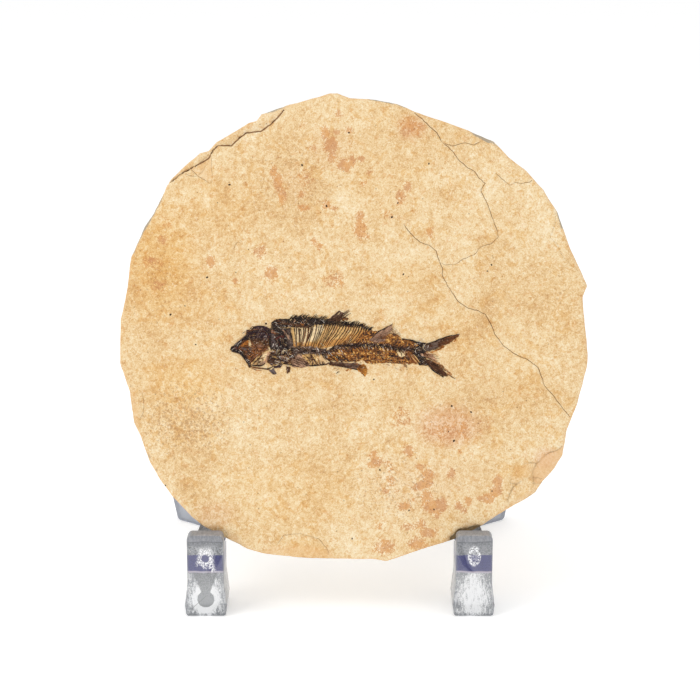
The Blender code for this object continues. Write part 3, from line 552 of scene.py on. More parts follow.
front = on_slab(face_points[:, 0], -face_height, face_points[:, 1])
back = on_slab(back_points[:, 0], back_depth, back_points[:, 1])
vertices = np.concatenate([front] + wall_rows + [back])
first_back = len(vertices) - len(back)
row_starts = [0] + [len(front) + index * ring_count for index in range(WALL_ROWS - 1)] + [first_back]
faces = list(face_triangles)
for upper, lower in zip(row_starts, row_starts[1:]):
    for index in range(ring_count):
        after = (index + 1) % ring_count
        faces.append([upper + index, upper + after, lower + after, lower + index])
faces += [[first_back + index for index in reversed(triangle)] for triangle in back_triangles]
slab_mesh = bpy.data.meshes.new("limestone_slab")
slab_mesh.from_pydata(vertices.tolist(), [], faces)
slab_mesh.validate()


def face_outwards(mesh):
    builder = bmesh.new()
    builder.from_mesh(mesh)
    bmesh.ops.recalc_face_normals(builder, faces=builder.faces)
    builder.to_mesh(mesh)
    builder.free()


def add_values(mesh, name, values):
    mesh.attributes.new(name, "FLOAT", "POINT").data.foreach_set("value", values)


def patches(rows, outer, inner):
    """Strength of soft patches over the face, each across, up, reach across, reach up, strength."""
    amount = np.zeros(len(face_points))
    for across, up, reach_across, reach_up, strength in rows:
        away = np.hypot((face_points[:, 0] - across) / reach_across, (face_points[:, 1] - up) / reach_up)
        amount = np.maximum(amount, strength * smooth(outer, inner, away))
    return amount


def select_only(piece):
    bpy.ops.object.select_all(action="DESELECT")
    piece.select_set(True)
    bpy.context.view_layer.objects.active = piece


face_outwards(slab_mesh)
rest = len(vertices) - len(front)
on_face = {kind: patches([tint[1:] for tint in TINTS if tint[0] == kind], 1.35, 0.25)
           for kind in ("golden", "pinkish", "freckled", "pale")}
on_face.update(stain=patches(STAINS, 2.1, 0.3), crack=np.clip(groove / 0.3, 0, 1), speck=speck)
for name, values in on_face.items():
    add_values(slab_mesh, name, np.concatenate((values, np.zeros(rest))))
add_values(slab_mesh, "fresh", np.concatenate((face_fresh_light_and_shade, np.full(rest, 0.6))))
add_values(slab_mesh, "broken_side", np.concatenate((np.zeros(len(front)), np.ones(rest))))
# The wall's upper rows take the rim's grey: weathering, and painted shade on the receding edge
wall_grey_and_shade = [0.28 + 0.72 * rim_grey_and_shade * max(0.0, 1.0 - row / 9) for row in range(1, WALL_ROWS)]
add_values(slab_mesh, "weathered", np.concatenate([face_grey_and_shade] + wall_grey_and_shade + [np.full(len(back), 0.1)]))
slab = bpy.data.objects.new("limestone_slab", slab_mesh)
bpy.context.scene.collection.objects.link(slab)
select_only(slab)
bpy.ops.object.mode_set(mode="EDIT")
bpy.ops.mesh.select_all(action="SELECT")
bpy.ops.mesh.delete_loose()
bpy.ops.object.mode_set(mode="OBJECT")
slab_mesh.shade_smooth()


def linear(rgb):
    """A shader colour from the 0-255 values that a paint program shows."""
    return tuple((value / 255 / 12.92) if value <= 10 else ((value / 255 + 0.055) / 1.055) ** 2.4
                 for value in rgb)


class Shade:
    """One value or colour in a material. Arithmetic on it adds Math nodes."""

    def __init__(self, tree, socket):
        self.tree = tree
        self.socket = socket

    def node(self, kind, settings, inputs, output=0):
        """Another node: its settings first, then the values or shades of its sockets."""
        made = self.tree.nodes.new(kind)
        for name, setting in settings.items():
            if name == "stops":
                ramp = made.color_ramp.elements
                while len(ramp) < len(setting):
                    ramp.new(0.5)
                for stop, (place, rgb) in zip(ramp, setting):
                    stop.position = place
                    stop.color = (*linear(rgb), 1.0)
            else:
                setattr(made, name, setting)
        for name, value in inputs.items():
            if isinstance(value, Shade):
                value.feed(made.inputs[name])
            else:
                made.inputs[name].default_value = value
        return Shade(self.tree, made.outputs[output])

    def feed(self, socket):
        self.tree.links.new(self.socket, socket)

    def math(self, operation, *values):
        return self.node("ShaderNodeMath", {"operation": operation}, dict(enumerate(values)))

    def __add__(self, other):
        return self.math("ADD", self, other)

    __radd__ = __add__

    def __mul__(self, other):
        return self.math("MULTIPLY", self, other)

    __rmul__ = __mul__

    def __sub__(self, other):
        return self.math("SUBTRACT", self, other)

    def __rsub__(self, other):
        return self.math("SUBTRACT", other, self)

    def rise(self, low, high):
        """0 below low and 1 above high, rising smoothly between; falling, if low is the higher."""
        return self.node("ShaderNodeMapRange", {"interpolation_type": "SMOOTHSTEP"},
                         {"Value": self, "From Min": low, "From Max": high})

    def noise(self, size, detail=3.0, distortion=0.0):
        """Noise with bumps of the given size, at the place that this shade is."""
        return self.node("ShaderNodeTexNoise", {}, {"Vector": self, "Scale": 1.0 / size,
                                                    "Detail": detail, "Distortion": distortion})

    def ramp(self, stops):
        """The colour at this value, between stops that each have a value and a 0-255 colour."""
        return self.node("ShaderNodeValToRGB", {"stops": stops}, {"Fac": self})

    def blend(self, first, second, way="MIX"):
        """From the first colour to the second as this goes from 0 to 1; each a shade, or 0-255."""
        ends = [end if isinstance(end, Shade) else (*linear(end), 1.0) for end in (first, second)]
        return self.node("ShaderNodeMix", {"data_type": "RGBA", "blend_type": way},
                         {0: self, 6: ends[0], 7: ends[1]}, output=2)

    def scaled(self, *scale):
        """The same place, scaled along each axis."""
        return self.node("ShaderNodeMapping", {"vector_type": "POINT"}, {"Vector": self, "Scale": scale})

    def bump(self, strength, distance):
        """A surface direction that takes this as its height, in millimetres."""
        return self.node("ShaderNodeBump", {}, {"Height": self, "Strength": strength,
                                                "Distance": distance * MM})

    def given(self, name, output=2):
        """What the mesh holds under a name: a number, or with output 0 a colour, 1 a vector."""
        return self.node("ShaderNodeAttribute", {"attribute_name": name}, {}, output)


def new_material(name, finish):
    """A material with its fixed values set; returns it, its shader and an Object-coordinate shade."""
    material = bpy.data.materials.new(name)
    material.use_nodes = True
    tree = material.node_tree
    shader = tree.nodes["Principled BSDF"]
    for socket, value in finish.items():
        shader.inputs[socket].default_value = value
    return material, shader, Shade(tree, tree.nodes.new("ShaderNodeTexCoord").outputs["Object"])


def slab_place(place):
    """The same place in the slab's own millimetres: across, depth behind its face, and up."""
    x, y, z = SLAB_CENTRE
    cosine, sine = math.cos(LEAN), math.sin(LEAN)
    shifted = (x, y * cosine - z * sine, y * sine + z * cosine)
    return place.node("ShaderNodeMapping", {"vector_type": "POINT"}, {
        "Vector": place, "Location": tuple(-value / MM for value in shifted),
        "Rotation": (LEAN, 0.0, 0.0), "Scale": (1 / MM, 1 / MM, 1 / MM)})


# Tones of the stone's face and of its broken side, each a value of the mottling and a colour
ROCK_TONES = ((0.60, (249, 235, 208)), (0.69, (242, 221, 181)), (0.76, (235, 206, 159)),
              (0.83, (226, 190, 137)), (0.93, (204, 160, 109)))
SIDE_TONES = ((0.28, (186, 164, 134)), (0.40, (218, 196, 160)), (0.52, (234, 214, 178)),
              (0.66, (242, 226, 196)))
GOLDEN_WASH = (249, 232, 200)                # the washes darken the stone under them
PINK_WASH = (246, 228, 226)
ORANGE_WASH = (243, 218, 194)
AMBER_WASH = (248, 228, 190)
PALE_STROKE = (253, 240, 214)
RUST = (216, 152, 88)
DULL_RUST = (204, 144, 98)
RUST_GRAIN = (156, 92, 58)
FRECKLE = (172, 122, 76)
FRESH_BREAK = (232, 190, 142)
# Painted shade on broken edges that face down
SHADED_BREAK = (124, 98, 62)
# Grey of weathering, and painted shade on the rim's receding edges
WEATHERED_AND_SHADED_GREY = (162, 154, 138)
# Dark lines of the cracks, and painted shadow at the ledge's foot and round flake scars
CRACK_AND_STEP_SHADE_BROWN = (118, 74, 36)
PINPRICK = (128, 88, 54)
SPECK_BROWN = (58, 42, 28)


def limestone():
    """Cream limestone: soft tan mottling, a fine grain, rusty stains, cracks and dark specks."""
    material, shader, place = new_material("limestone", {"Roughness": 0.9, "Specular IOR Level": 0.3})
    flat = slab_place(place)
    broad = flat.noise(26.0, 3.0, 0.6)
    middling = flat.noise(5.0, 4.0, 0.8)
    small = flat.noise(1.5, 4.0, 0.8)
    threads = flat.noise(0.85, 3.0, 2.2)
    grain = flat.noise(0.42, 2.0)

    # The mottling, and the broad changes of colour over it
    uneven = 0.4 + middling * 0.6 + small * 0.6
    pale = (flat.given("pale") * uneven + (flat.noise(4.2, 3.0, 1.0) - 0.5) * 0.8).rise(0.1, 1.1)
    tone = broad * 0.26 + middling * 0.21 + small * 0.34 + threads * 0.41 + grain * 0.30
    rock = (tone - pale * 0.07 + 0.018).ramp(ROCK_TONES)
    golden = (flat.given("golden") * uneven).rise(0.0, 1.0)
    rock = golden.blend(rock, GOLDEN_WASH, "MULTIPLY")
    pinkish = (flat.given("pinkish") * uneven).rise(0.0, 1.0)
    rock = pinkish.blend(rock, PINK_WASH, "MULTIPLY")
    orange = flat.noise(1.9, 4.0, 1.4).rise(0.57, 0.67)
    rock = (orange * 0.55).blend(rock, ORANGE_WASH, "MULTIPLY")
    amber = (flat.noise(5.5, 5.0, 1.4) + (small - 0.5) * 0.3).rise(0.54, 0.66)
    rock = (amber * 0.45).blend(rock, AMBER_WASH, "MULTIPLY")
    strokes = flat.noise(1.2, 4.0, 2.6).rise(0.60, 0.69)
    rock = (strokes * 0.45).blend(rock, PALE_STROKE)

    # Iron stains with rusty grains in them, and freckles
    marked = flat.given("stain")
    stain = marked + (small - 0.5) * 1.3 + (grain - 0.5) * 1.3 + (threads - 0.5) * 0.8
    stained = stain.rise(0.38, 0.66) * marked.rise(0.05, 0.4)
    rock = (stained * 0.68).blend(rock, middling.rise(0.4, 0.6).blend(RUST, DULL_RUST))
    grainy = flat.noise(0.5, 2.0).rise(0.58, 0.68) * stained
    rock = (grainy * 0.55).blend(rock, RUST_GRAIN)
    freckled = flat.given("freckled") * 0.19 + flat.noise(0.8, 3.0, 0.5)
    rock = (freckled.rise(0.66, 0.76) * 0.5).blend(rock, FRECKLE)

    # Fresh breaks, painted shade where a break's edge faces down, the layered side, and grey on the rim:
    # partly weathering, partly painted shade on its receding edges
    fresh = flat.given("fresh")
    rock = (fresh.rise(0.0, 1.0) * 0.6).blend(rock, FRESH_BREAK)
    # Painted shade on the breaks whose edge faces down
    rock = ((fresh * -1.0).rise(0.3, 1.1) * 0.8).blend(rock, SHADED_BREAK)
    bands = flat.scaled(0.035, 1.5, 0.035).noise(1.0, 4.0, 0.4)
    side_rock = (bands * 0.7 + middling * 0.3 + (small - 0.5) * 0.6).ramp(SIDE_TONES)
    rock = (flat.given("broken_side") * 0.85).blend(rock, side_rock)
    weathered = flat.given("weathered") * 0.95 + (middling - 0.5) * 1.3 + (small - 0.5) * 1.1
    rock = (weathered.rise(0.35, 0.85) * 0.82).blend(rock, WEATHERED_AND_SHADED_GREY)

    # Cracks in dark brown, with painted shadow at the ledge's foot and round the flakes' scars;
    # pinpricks in some of a loose pattern's cells, and specks
    crack = (flat.given("crack") + (small - 0.5) * 0.25).rise(0.04, 0.6)
    rock = (crack * 0.9).blend(rock, CRACK_AND_STEP_SHADE_BROWN)
    dots, cells = [flat.node("ShaderNodeTexVoronoi", {}, {"Vector": flat, "Scale": 0.4}, output)
                   for output in (0, 1)]
    chance = cells.node("ShaderNodeSeparateColor", {}, {0: cells})
    pricked = (1.0 - (dots + (grain - 0.5) * 0.08).rise(0.06, 0.11)) * chance.rise(0.6, 0.7)
    rock = (pricked * 0.6).blend(rock, PINPRICK)
    rock = flat.given("speck").rise(0.06, 0.36).blend(rock, SPECK_BROWN)
    rock.feed(shader.inputs["Base Color"])

    relief = small * 0.4 + grain * 0.4 + threads * 0.5 + middling * 0.5
    relief.bump(0.55, 0.12).feed(shader.inputs["Normal"])
    return material


slab_mesh.materials.append(limestone())
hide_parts("slab")
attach(slab, "root")


# --- Fossil fish -----------------------------------------------------------------------------
# A small herring-like fish, pressed flat in the stone's face: a thin, ragged film of skin, scales
# and skull plates, with the backbone, ribs and fin rays standing up out of it. One specimen.

FISH_SNOUT = (-39.5, -7.2)                   # across and up from the slab's centre
FILM_STEP = 0.19                             # spacing of the film's points
FILM_LENGTH = 74.4
FILM_HEIGHT = 22.8
FILM_START = -0.5                            # the film's points begin this far before the snout
FILM_LOWEST = -9.6
FILM_UNDERSIDE = 0.45                        # its flat underside, below the slab's face
FILM_SUNK = -0.22                            # height where there is no bone, under the slab's face
FILM_RELIEF = 0.08                           # unevenness of the bone, and its grain
FILM_GRAIN = 0.04
STREAK_LENGTH = 2.4
STREAK_WIDTH = 0.3

BLACK_BONE = (38, 27, 24)
BROWN_BONE = (76, 46, 28)
PURPLE_BONE = (50, 30, 36)
GREY_BONE_AND_HIGHLIGHT = (98, 80, 70)
# Grey bone; on the snout's top line and the gill cover's right edge it is a painted highlight
SPINE_BONE = (84, 62, 50)
# Pale grey splinters and flecks, partly painted highlights
PALE_CHIP_AND_HIGHLIGHT = (200, 188, 176)                       # pale grey splinters
DARK_RED = (84, 36, 28)
LILAC_BONE = (98, 84, 82)
RUST_BONE = (112, 66, 34)
EYE_BONE = (150, 110, 88)
CHEEK_BONE = (146, 112, 92)
BROW_BONE = (138, 86, 52)
AMBER = (168, 102, 40)
DEEP_AMBER = (128, 74, 32)
GOLD = (224, 180, 116)
DEEP_GOLD = (196, 140, 76)
GILT = (188, 120, 46)
CREAM = (242, 214, 166)
PINKISH = (206, 164, 132)
FIN = (122, 94, 78)
PALE_FIN = (160, 124, 100)
TAIL_EDGE = (176, 126, 80)
AMBER_FIN = (190, 126, 52)
SMEAR = (72, 48, 40)
JET = (20, 13, 14)
BARE = None                                  # the stone shows

# How each kind of surface is marked: how scaly, flecked, patched with rust and streaky it is
SCALES = (1.0, 0.3, 0.2, 0.3)
PLATE = (0.0, 0.7, 0.5, 0.8)
BONY = (0.0, 1.0, 0.4, 1.1)
SKIN = (0.0, 0.1, 0.0, 0.35)
MEMBRANE = (0.0, 0.15, 0.1, 1.0)
CLEAN = (0.0, 0.0, 0.0, 0.3)
LOOSE_BONE = (0.0, 0.35, 0.15, 0.7)

# Each region: colour, height over the slab's face, kind, softness of its edge, its streaks' slope
# in degrees or the point that they radiate from, and its outline. Millimetres along from the snout
# and up from it; later regions lie over earlier ones.
REGIONS = (
    (GOLD, 0.06, SKIN, 0.20, 72, (
        (19.4, 6.9), (21.7, 7.2), (25.0, 7.2), (28.9, 8.4), (31.2, 9.2), (34.6, 9.0), (37.0, 7.9),
        (41.1, 7.7), (44.0, 6.4), (45.0, 4.0), (40.3, 1.8), (36.4, 1.0), (32.1, 0.6), (28.9, 0.6),
        (25.6, 0.6), (22.4, 0.4), (19.6, 0.6))),
    (CREAM, 0.03, SKIN, 0.35, 85, (
        (20.4, 6.8), (24.6, 6.8), (28.4, 8.0), (30.2, 6.6), (28.0, 3.6), (25.4, 2.4), (21.2, 2.2))),
    (DEEP_GOLD, 0.08, SKIN, 0.6, 60, (
        (19.4, 2.4), (22.6, 2.2), (26.0, 2.4), (30.0, 2.6), (34.0, 3.2), (38.0, 4.6), (42.6, 6.6),
        (45.0, 4.0), (40.0, 1.4), (34.0, 0.6), (26.0, 0.4), (19.6, 0.4))),
    (DEEP_AMBER, 0.22, SCALES, 0.16, 0, (
        (30.5, -1.9), (32.1, -0.2), (35.4, 0.5), (41.1, 0.9), (46.3, 1.2), (53.2, 0.2), (57.7, 0.0),
        (59.4, -1.2), (60.6, -3.4), (60.2, -4.4), (57.7, -4.7), (54.1, -4.6), (51.2, -4.4),
        (47.5, -4.4), (44.0, -4.6), (42.2, -3.6), (39.0, -4.0), (33.4, -3.8), (31.2, -3.7))),
    (DEEP_AMBER, 0.24, SCALES, 0.16, 0, (
        (39.2, 2.2), (41.1, 4.0), (42.6, 5.6), (44.0, 6.6), (47.0, 5.8), (50.1, 4.4), (52.2, 5.1),
        (54.6, 3.6), (57.2, 3.1), (60.2, 2.0), (61.0, 1.0), (56.1, 0.0), (50.1, 0.6), (43.1, 1.0))),
    (PALE_FIN, 0.2, MEMBRANE, 0.2, -42, (
        (19.4, -1.4), (21.7, -1.6), (24.0, -1.7), (25.2, -3.4), (25.4, -5.2), (22.7, -5.9),
        (19.8, -5.5), (19.0, -3.7))),
    (GOLD, 0.08, SKIN, 0.15, -50, (
        (22.7, -1.5), (25.6, -1.1), (27.9, -1.3), (28.6, -2.8), (27.8, -4.8), (25.6, -5.2),
        (24.6, -3.7), (23.3, -2.6))),
    (CREAM, 0.06, CLEAN, 0.2, 0, (
        (27.4, -2.2), (28.3, -2.0), (28.6, -3.2), (27.9, -3.9), (27.4, -3.2))),
    (SPINE_BONE, 0.36, BONY, 0.3, 10, (
        (19.0, 1.0), (21.7, 0.9), (25.6, 0.9), (27.6, 0.5), (30.5, 0.3), (31.2, -0.6), (30.5, -1.7),
        (28.5, -1.8), (24.8, -1.6), (21.7, -1.9), (19.4, -1.6))),
    (BROWN_BONE, 0.3, BONY, 0.22, 35, (
        (29.6, -1.3), (31.4, 0.0), (33.4, 1.4), (38.5, 1.9), (41.0, 2.0), (46.3, 2.2), (50.1, 1.9),
        (53.0, 1.2), (56.1, 0.9), (59.5, 1.0), (59.3, -1.0), (57.7, -1.1), (55.4, -0.7), (53.5, -0.7),
        (50.5, 0.1), (46.3, 0.6), (43.2, 0.5), (40.5, 0.3), (36.5, 0.1), (33.2, -0.2), (31.0, -1.9))),
    (BLACK_BONE, 0.3, PLATE, 0.14, 45, (
        (12.8, 8.6), (14.7, 9.6), (16.0, 9.9), (18.4, 9.7), (19.6, 10.2), (21.4, 10.6), (25.1, 10.4),
        (27.4, 10.0), (31.0, 9.4), (31.3, 8.8), (30.5, 8.0), (28.1, 8.0), (26.9, 7.7), (25.6, 7.2),
        (24.8, 6.7), (23.3, 7.0), (16.3, 7.0), (14.4, 6.7), (13.1, 7.0))),
    (PINKISH, 0.1, CLEAN, 0.1, 60, ((20.1, 8.8), (20.6, 9.4), (21.3, 9.1), (21.0, 8.4), (20.4, 8.3))),
    (AMBER, 0.12, SKIN, 0.1, -50, ((21.9, 9.0), (22.4, 9.0), (23.5, 7.8), (23.2, 7.5), (22.2, 8.2))),
    (CREAM, 0.0, CLEAN, 0.06, 45, ((18.9, 9.4), (20.6, 10.7), (20.9, 10.4), (19.4, 9.2))),
    (BLACK_BONE, 0.26, PLATE, 0.3, 45, (
        (31.0, 9.1), (34.6, 8.5), (35.1, 8.3), (38.3, 8.5), (41.9, 8.2), (43.2, 7.2), (45.3, 6.7),
        (44.9, 6.0), (43.4, 6.3), (41.4, 7.3), (38.6, 7.6), (36.4, 7.6), (34.0, 8.1), (31.0, 8.5))),
    (FIN, 0.18, MEMBRANE, 0.08, 42, (
        (30.8, 9.2), (32.1, 10.4), (34.7, 12.4), (35.9, 12.0), (36.4, 11.4), (35.4, 9.9), (34.6, 8.8),
        (32.5, 8.8))),
    (GOLD, 0.1, SCALES, 0.12, 0, (
        (35.4, 10.0), (36.6, 10.5), (38.0, 10.1), (37.6, 9.0), (35.9, 9.1))),
    (PALE_FIN, 0.3, MEMBRANE, 0.16, 38, (
        (44.6, 3.0), (47.0, 5.7), (51.7, 8.1), (51.6, 7.3), (52.0, 6.3), (51.0, 5.6), (50.1, 5.1),
        (49.7, 3.8), (49.2, 2.7), (47.1, 2.2), (45.7, 2.4))),
    (FIN, 0.32, MEMBRANE, 0.4, 38, (
        (44.8, 3.0), (46.6, 4.8), (48.4, 4.6), (49.4, 3.6), (48.6, 2.7), (46.6, 2.3))),
    (DEEP_AMBER, 0.3, SCALES, 0.12, 0, (
        (49.5, 3.6), (50.7, 5.0), (52.5, 5.1), (54.5, 3.7), (53.5, 2.9), (51.2, 2.8))),
    (BLACK_BONE, 0.36, BONY, 0.12, 30, (
        (57.2, 3.0), (60.2, 2.2), (61.8, 1.7), (62.8, 2.0), (63.2, 1.3), (62.5, -0.5), (62.6, -3.1),
        (63.6, -5.0), (62.8, -5.3), (60.4, -5.1), (59.6, -3.6), (58.4, -1.8), (58.6, 0.4),
        (60.0, 1.2))),
    (DEEP_AMBER, 0.3, PLATE, 0.1, -52, (
        (56.6, -1.5), (58.2, -1.6), (60.2, -3.9), (59.6, -4.6), (57.8, -4.4))),
    (GREY_BONE_AND_HIGHLIGHT, 0.34, MEMBRANE, 0.1, 24, (
        (61.8, 1.3), (63.3, 1.9), (65.5, 2.5), (67.6, 3.4), (67.4, 1.4), (64.0, -0.6), (62.4, -0.7))),
    (RUST_BONE, 0.26, MEMBRANE, 0.12, 25, (
        (67.0, 3.3), (69.5, 4.1), (71.3, 4.6), (73.1, 4.9), (73.0, 4.2), (71.8, 3.2), (69.0, 1.7),
        (66.5, 0.4), (66.0, 1.4))),
    (AMBER, 0.12, MEMBRANE, 0.18, 30, (
        (63.6, -0.9), (66.5, 0.3), (69.0, 1.6), (71.8, 3.1), (72.6, 3.3), (71.4, 2.3), (69.7, 1.7),
        (68.3, 0.8), (66.5, -0.4), (64.4, -1.1))),
    (PINKISH, 0.08, MEMBRANE, 0.1, -25, (
        (60.5, -1.4), (62.8, -1.0), (64.4, -1.5), (65.6, -2.6), (66.2, -3.5), (64.8, -3.6),
        (62.8, -2.6), (61.4, -2.2))),
    (BROWN_BONE, 0.28, MEMBRANE, 0.08, -42, (
        (62.2, -3.0), (63.3, -3.1), (65.0, -4.2), (66.8, -5.6), (68.4, -7.0), (69.6, -8.1),
        (69.2, -8.6), (68.1, -8.4), (67.9, -9.0), (67.2, -8.1), (66.5, -8.2), (66.1, -7.4),
        (65.3, -7.5), (64.9, -6.7), (64.1, -6.6), (63.9, -5.7), (62.8, -4.5))),
    (TAIL_EDGE, 0.1, MEMBRANE, 0.5, -42, (
        (64.0, -3.2), (66.3, -4.3), (67.5, -5.0), (69.0, -6.1), (70.3, -7.4), (70.4, -8.3),
        (69.4, -8.0), (68.0, -6.8), (66.4, -5.4), (64.8, -4.2))),
    (FIN, 0.3, MEMBRANE, 0.1, -12, (
        (31.2, -4.8), (32.1, -3.9), (33.8, -3.9), (37.8, -4.3), (40.3, -4.2), (41.7, -4.8),
        (40.7, -6.4), (37.8, -6.1), (33.8, -5.1), (32.1, -5.3))),
    (AMBER_FIN, 0.16, MEMBRANE, 0.06, (40.0, -5.2), (
        (40.3, -6.4), (41.4, -4.9), (42.5, -4.6), (43.4, -5.2), (43.8, -6.5), (43.5, -8.0),
        (43.0, -8.8))),
    (AMBER, 0.12, MEMBRANE, 0.08, 5, (
        (36.6, -6.9), (37.0, -6.3), (38.5, -6.2), (38.6, -6.6), (37.3, -6.9))),
    (AMBER, 0.1, SCALES, 0.1, 0, ((49.6, -5.7), (50.3, -5.8), (50.6, -6.8), (49.9, -6.6))),
    (BLACK_BONE, 0.62, PLATE, 0.3, (13.6, 6.8), (
        (12.7, 6.9), (14.7, 7.2), (19.1, 6.8), (19.7, 3.4), (20.1, 0.7), (18.7, -0.6), (16.3, -0.3),
        (14.0, -0.5), (12.4, 0.7), (12.2, 2.0), (12.7, 3.4))),
    # A painted highlight along the gill cover's right edge
    (GREY_BONE_AND_HIGHLIGHT, 0.66, BONY, 0.5, (13.6, 6.8), (
        (18.0, 6.4), (19.3, 6.0), (19.7, 3.0), (19.9, 0.7), (18.9, 0.4), (18.6, 3.0))),
    (LILAC_BONE, 0.6, PLATE, 0.4, 80, (
        (12.8, 5.4), (14.2, 4.6), (14.4, 1.0), (13.2, 0.8), (12.8, 2.8))),
    (BROWN_BONE, 0.42, BONY, 0.16, (17.5, 0.4), (
        (11.2, -2.2), (12.3, -0.8), (14.6, -0.2), (16.3, -0.2), (18.7, -0.5), (20.1, 0.2),
        (20.1, -2.1), (19.6, -4.4), (17.1, -4.9), (15.3, -4.6), (14.7, -5.2), (11.9, -4.4))),
    (CHEEK_BONE, 0.4, PLATE, 0.3, 0, ((15.8, -2.4), (16.8, -2.2), (17.6, -2.9), (16.4, -3.3))),
    (PURPLE_BONE, 0.3, PLATE, 0.1, 15, (
        (12.4, -4.4), (14.7, -5.2), (16.8, -4.7), (16.0, -6.0), (14.0, -5.9))),
    (LILAC_BONE, 0.3, MEMBRANE, 0.06, -60, (
        (12.4, -6.5), (14.0, -5.9), (14.8, -8.0), (14.0, -8.1), (12.6, -7.2))),
    (BROWN_BONE, 0.3, BONY, 0.06, 80, (
        (17.8, -5.4), (19.3, -5.6), (19.1, -7.0), (18.3, -8.1), (17.8, -7.0))),
    (PURPLE_BONE, 0.56, PLATE, 0.14, (8.4, 2.6), (
        (4.9, 4.4), (5.2, 6.2), (6.7, 6.3), (7.5, 7.3), (8.8, 7.7), (10.8, 7.5), (12.6, 6.7),
        (13.1, 4.7), (12.7, 2.8), (11.4, 1.8), (9.8, 2.7), (8.2, 2.6), (6.5, 2.6), (6.1, 3.7))),
    (RUST_BONE, 0.44, PLATE, 0.3, (8.6, 0.6), (
        (6.3, 2.7), (8.5, 3.2), (11.4, 2.6), (12.3, 0.6), (12.2, -0.2), (10.8, -1.3), (8.5, -0.9),
        (6.5, 0.2))),
    (BROWN_BONE, 0.46, PLATE, 0.4, (8.6, 0.6), (
        (7.0, 3.0), (9.4, 3.6), (12.4, 3.4), (12.6, 1.0), (11.0, 0.6), (9.6, 1.8), (7.6, 1.8))),
    (EYE_BONE, 0.5, PLATE, 0.3, 0, ((9.2, 1.3), (9.9, 1.5), (10.2, 0.8), (9.6, 0.4), (9.1, 0.7))),
    (RUST_BONE, 0.36, BONY, 0.14, 45, (
        (3.9, 0.2), (8.2, 0.0), (10.3, -1.3), (8.3, -2.6), (6.7, -4.9), (5.0, -2.9))),
    (BLACK_BONE, 0.46, PLATE, 0.1, 32, (
        (0.0, 0.0), (0.7, 1.1), (2.5, 2.4), (3.8, 3.1), (4.9, 4.4), (5.9, 4.3), (6.1, 3.2),
        (4.1, 2.3), (3.3, 1.4), (2.8, 0.4), (3.6, 0.0), (4.5, -1.6), (5.7, -3.0), (6.9, -4.8),
        (6.5, -5.9), (5.8, -5.5), (5.4, -4.2), (4.4, -3.1), (3.8, -1.9), (1.7, -1.0), (0.4, -0.5))),
    (RUST_BONE, 0.3, BONY, 0.06, 25, (
        (2.6, 0.2), (3.0, 1.4), (4.1, 2.6), (5.9, 3.4), (6.0, 1.3), (6.4, 0.4), (4.0, -0.4),
        (3.2, -0.4))),
    (DARK_RED, 0.5, SKIN, 0.1, 0, ((1.6, 1.0), (2.3, 0.9), (2.4, 0.2), (1.8, 0.1))),
    (AMBER, 0.26, SKIN, 0.08, 25, (
        (3.5, 1.4), (4.1, 2.3), (5.4, 2.8), (5.9, 2.5), (5.6, 1.5), (4.9, 0.9), (3.8, 0.7))),
    (CREAM, 0.04, CLEAN, 0.06, 0, ((6.2, 3.5), (6.5, 2.6), (6.8, 1.5), (5.9, 1.2), (6.1, 2.2))),
    (LILAC_BONE, 0.42, PLATE, 0.12, -10, (
        (3.3, 0.7), (6.5, 0.5), (8.2, -0.1), (5.2, -0.4), (3.8, 0.0))),
    (PINKISH, 0.02, SKIN, 0.1, 30, (
        (9.0, -2.4), (10.8, -1.1), (13.1, -0.6), (11.9, -2.4), (11.5, -4.6), (9.6, -4.9), (7.6, -5.0),
        (8.2, -3.6))),
    (CREAM, 0.06, CLEAN, 0.3, 0, (
        (8.7, -3.0), (10.0, -2.2), (11.8, -1.2), (11.2, -3.4), (9.6, -4.6), (8.6, -4.2))),
    (CREAM, 0.04, CLEAN, 0.08, 0, (
        (10.9, -4.8), (11.7, -4.6), (12.0, -5.4), (11.3, -5.9), (10.8, -5.5))),
    (BARE, FILM_SUNK, CLEAN, 0.06, 0, ((11.8, 8.2), (12.7, 8.4), (12.9, 6.9), (12.1, 7.1))),
    (BLACK_BONE, 0.3, PLATE, 0.06, 0, ((11.1, 8.5), (11.7, 8.5), (11.7, 7.9), (11.1, 7.9))),
    (DARK_RED, 0.64, PLATE, 0.2, 30, (
        (14.2, 3.3), (15.4, 4.5), (17.2, 4.3), (17.0, 3.6), (15.8, 3.6), (14.8, 2.7))),
    (BROW_BONE, 0.6, PLATE, 0.2, -20, (
        (12.9, 6.0), (14.0, 5.9), (15.3, 4.9), (14.4, 4.7), (13.2, 5.2))),
    (PINKISH, 0.34, CLEAN, 0.06, -60, (
        (16.6, 6.4), (16.9, 6.3), (18.2, 4.8), (18.9, 3.5), (18.9, 3.1), (18.4, 3.4), (17.5, 4.8))),
    (CREAM, 0.2, CLEAN, 0.06, 20, ((12.7, -6.2), (14.2, -5.3), (14.3, -5.6), (13.1, -6.5))),
    (CREAM, 0.06, CLEAN, 0.06, 0, (
        (53.0, 0.1), (53.6, -0.2), (53.8, -0.9), (54.5, -1.0), (54.8, -0.2), (55.2, -1.1),
        (55.9, -1.9), (54.9, -2.6), (54.3, -2.5), (53.7, -2.1), (53.2, -1.1))),
    (BARE, FILM_SUNK, CLEAN, 0.08, 0, (
        (28.2, -2.6), (29.8, -2.3), (30.3, -3.1), (30.6, -4.4), (28.0, -4.5))),
)

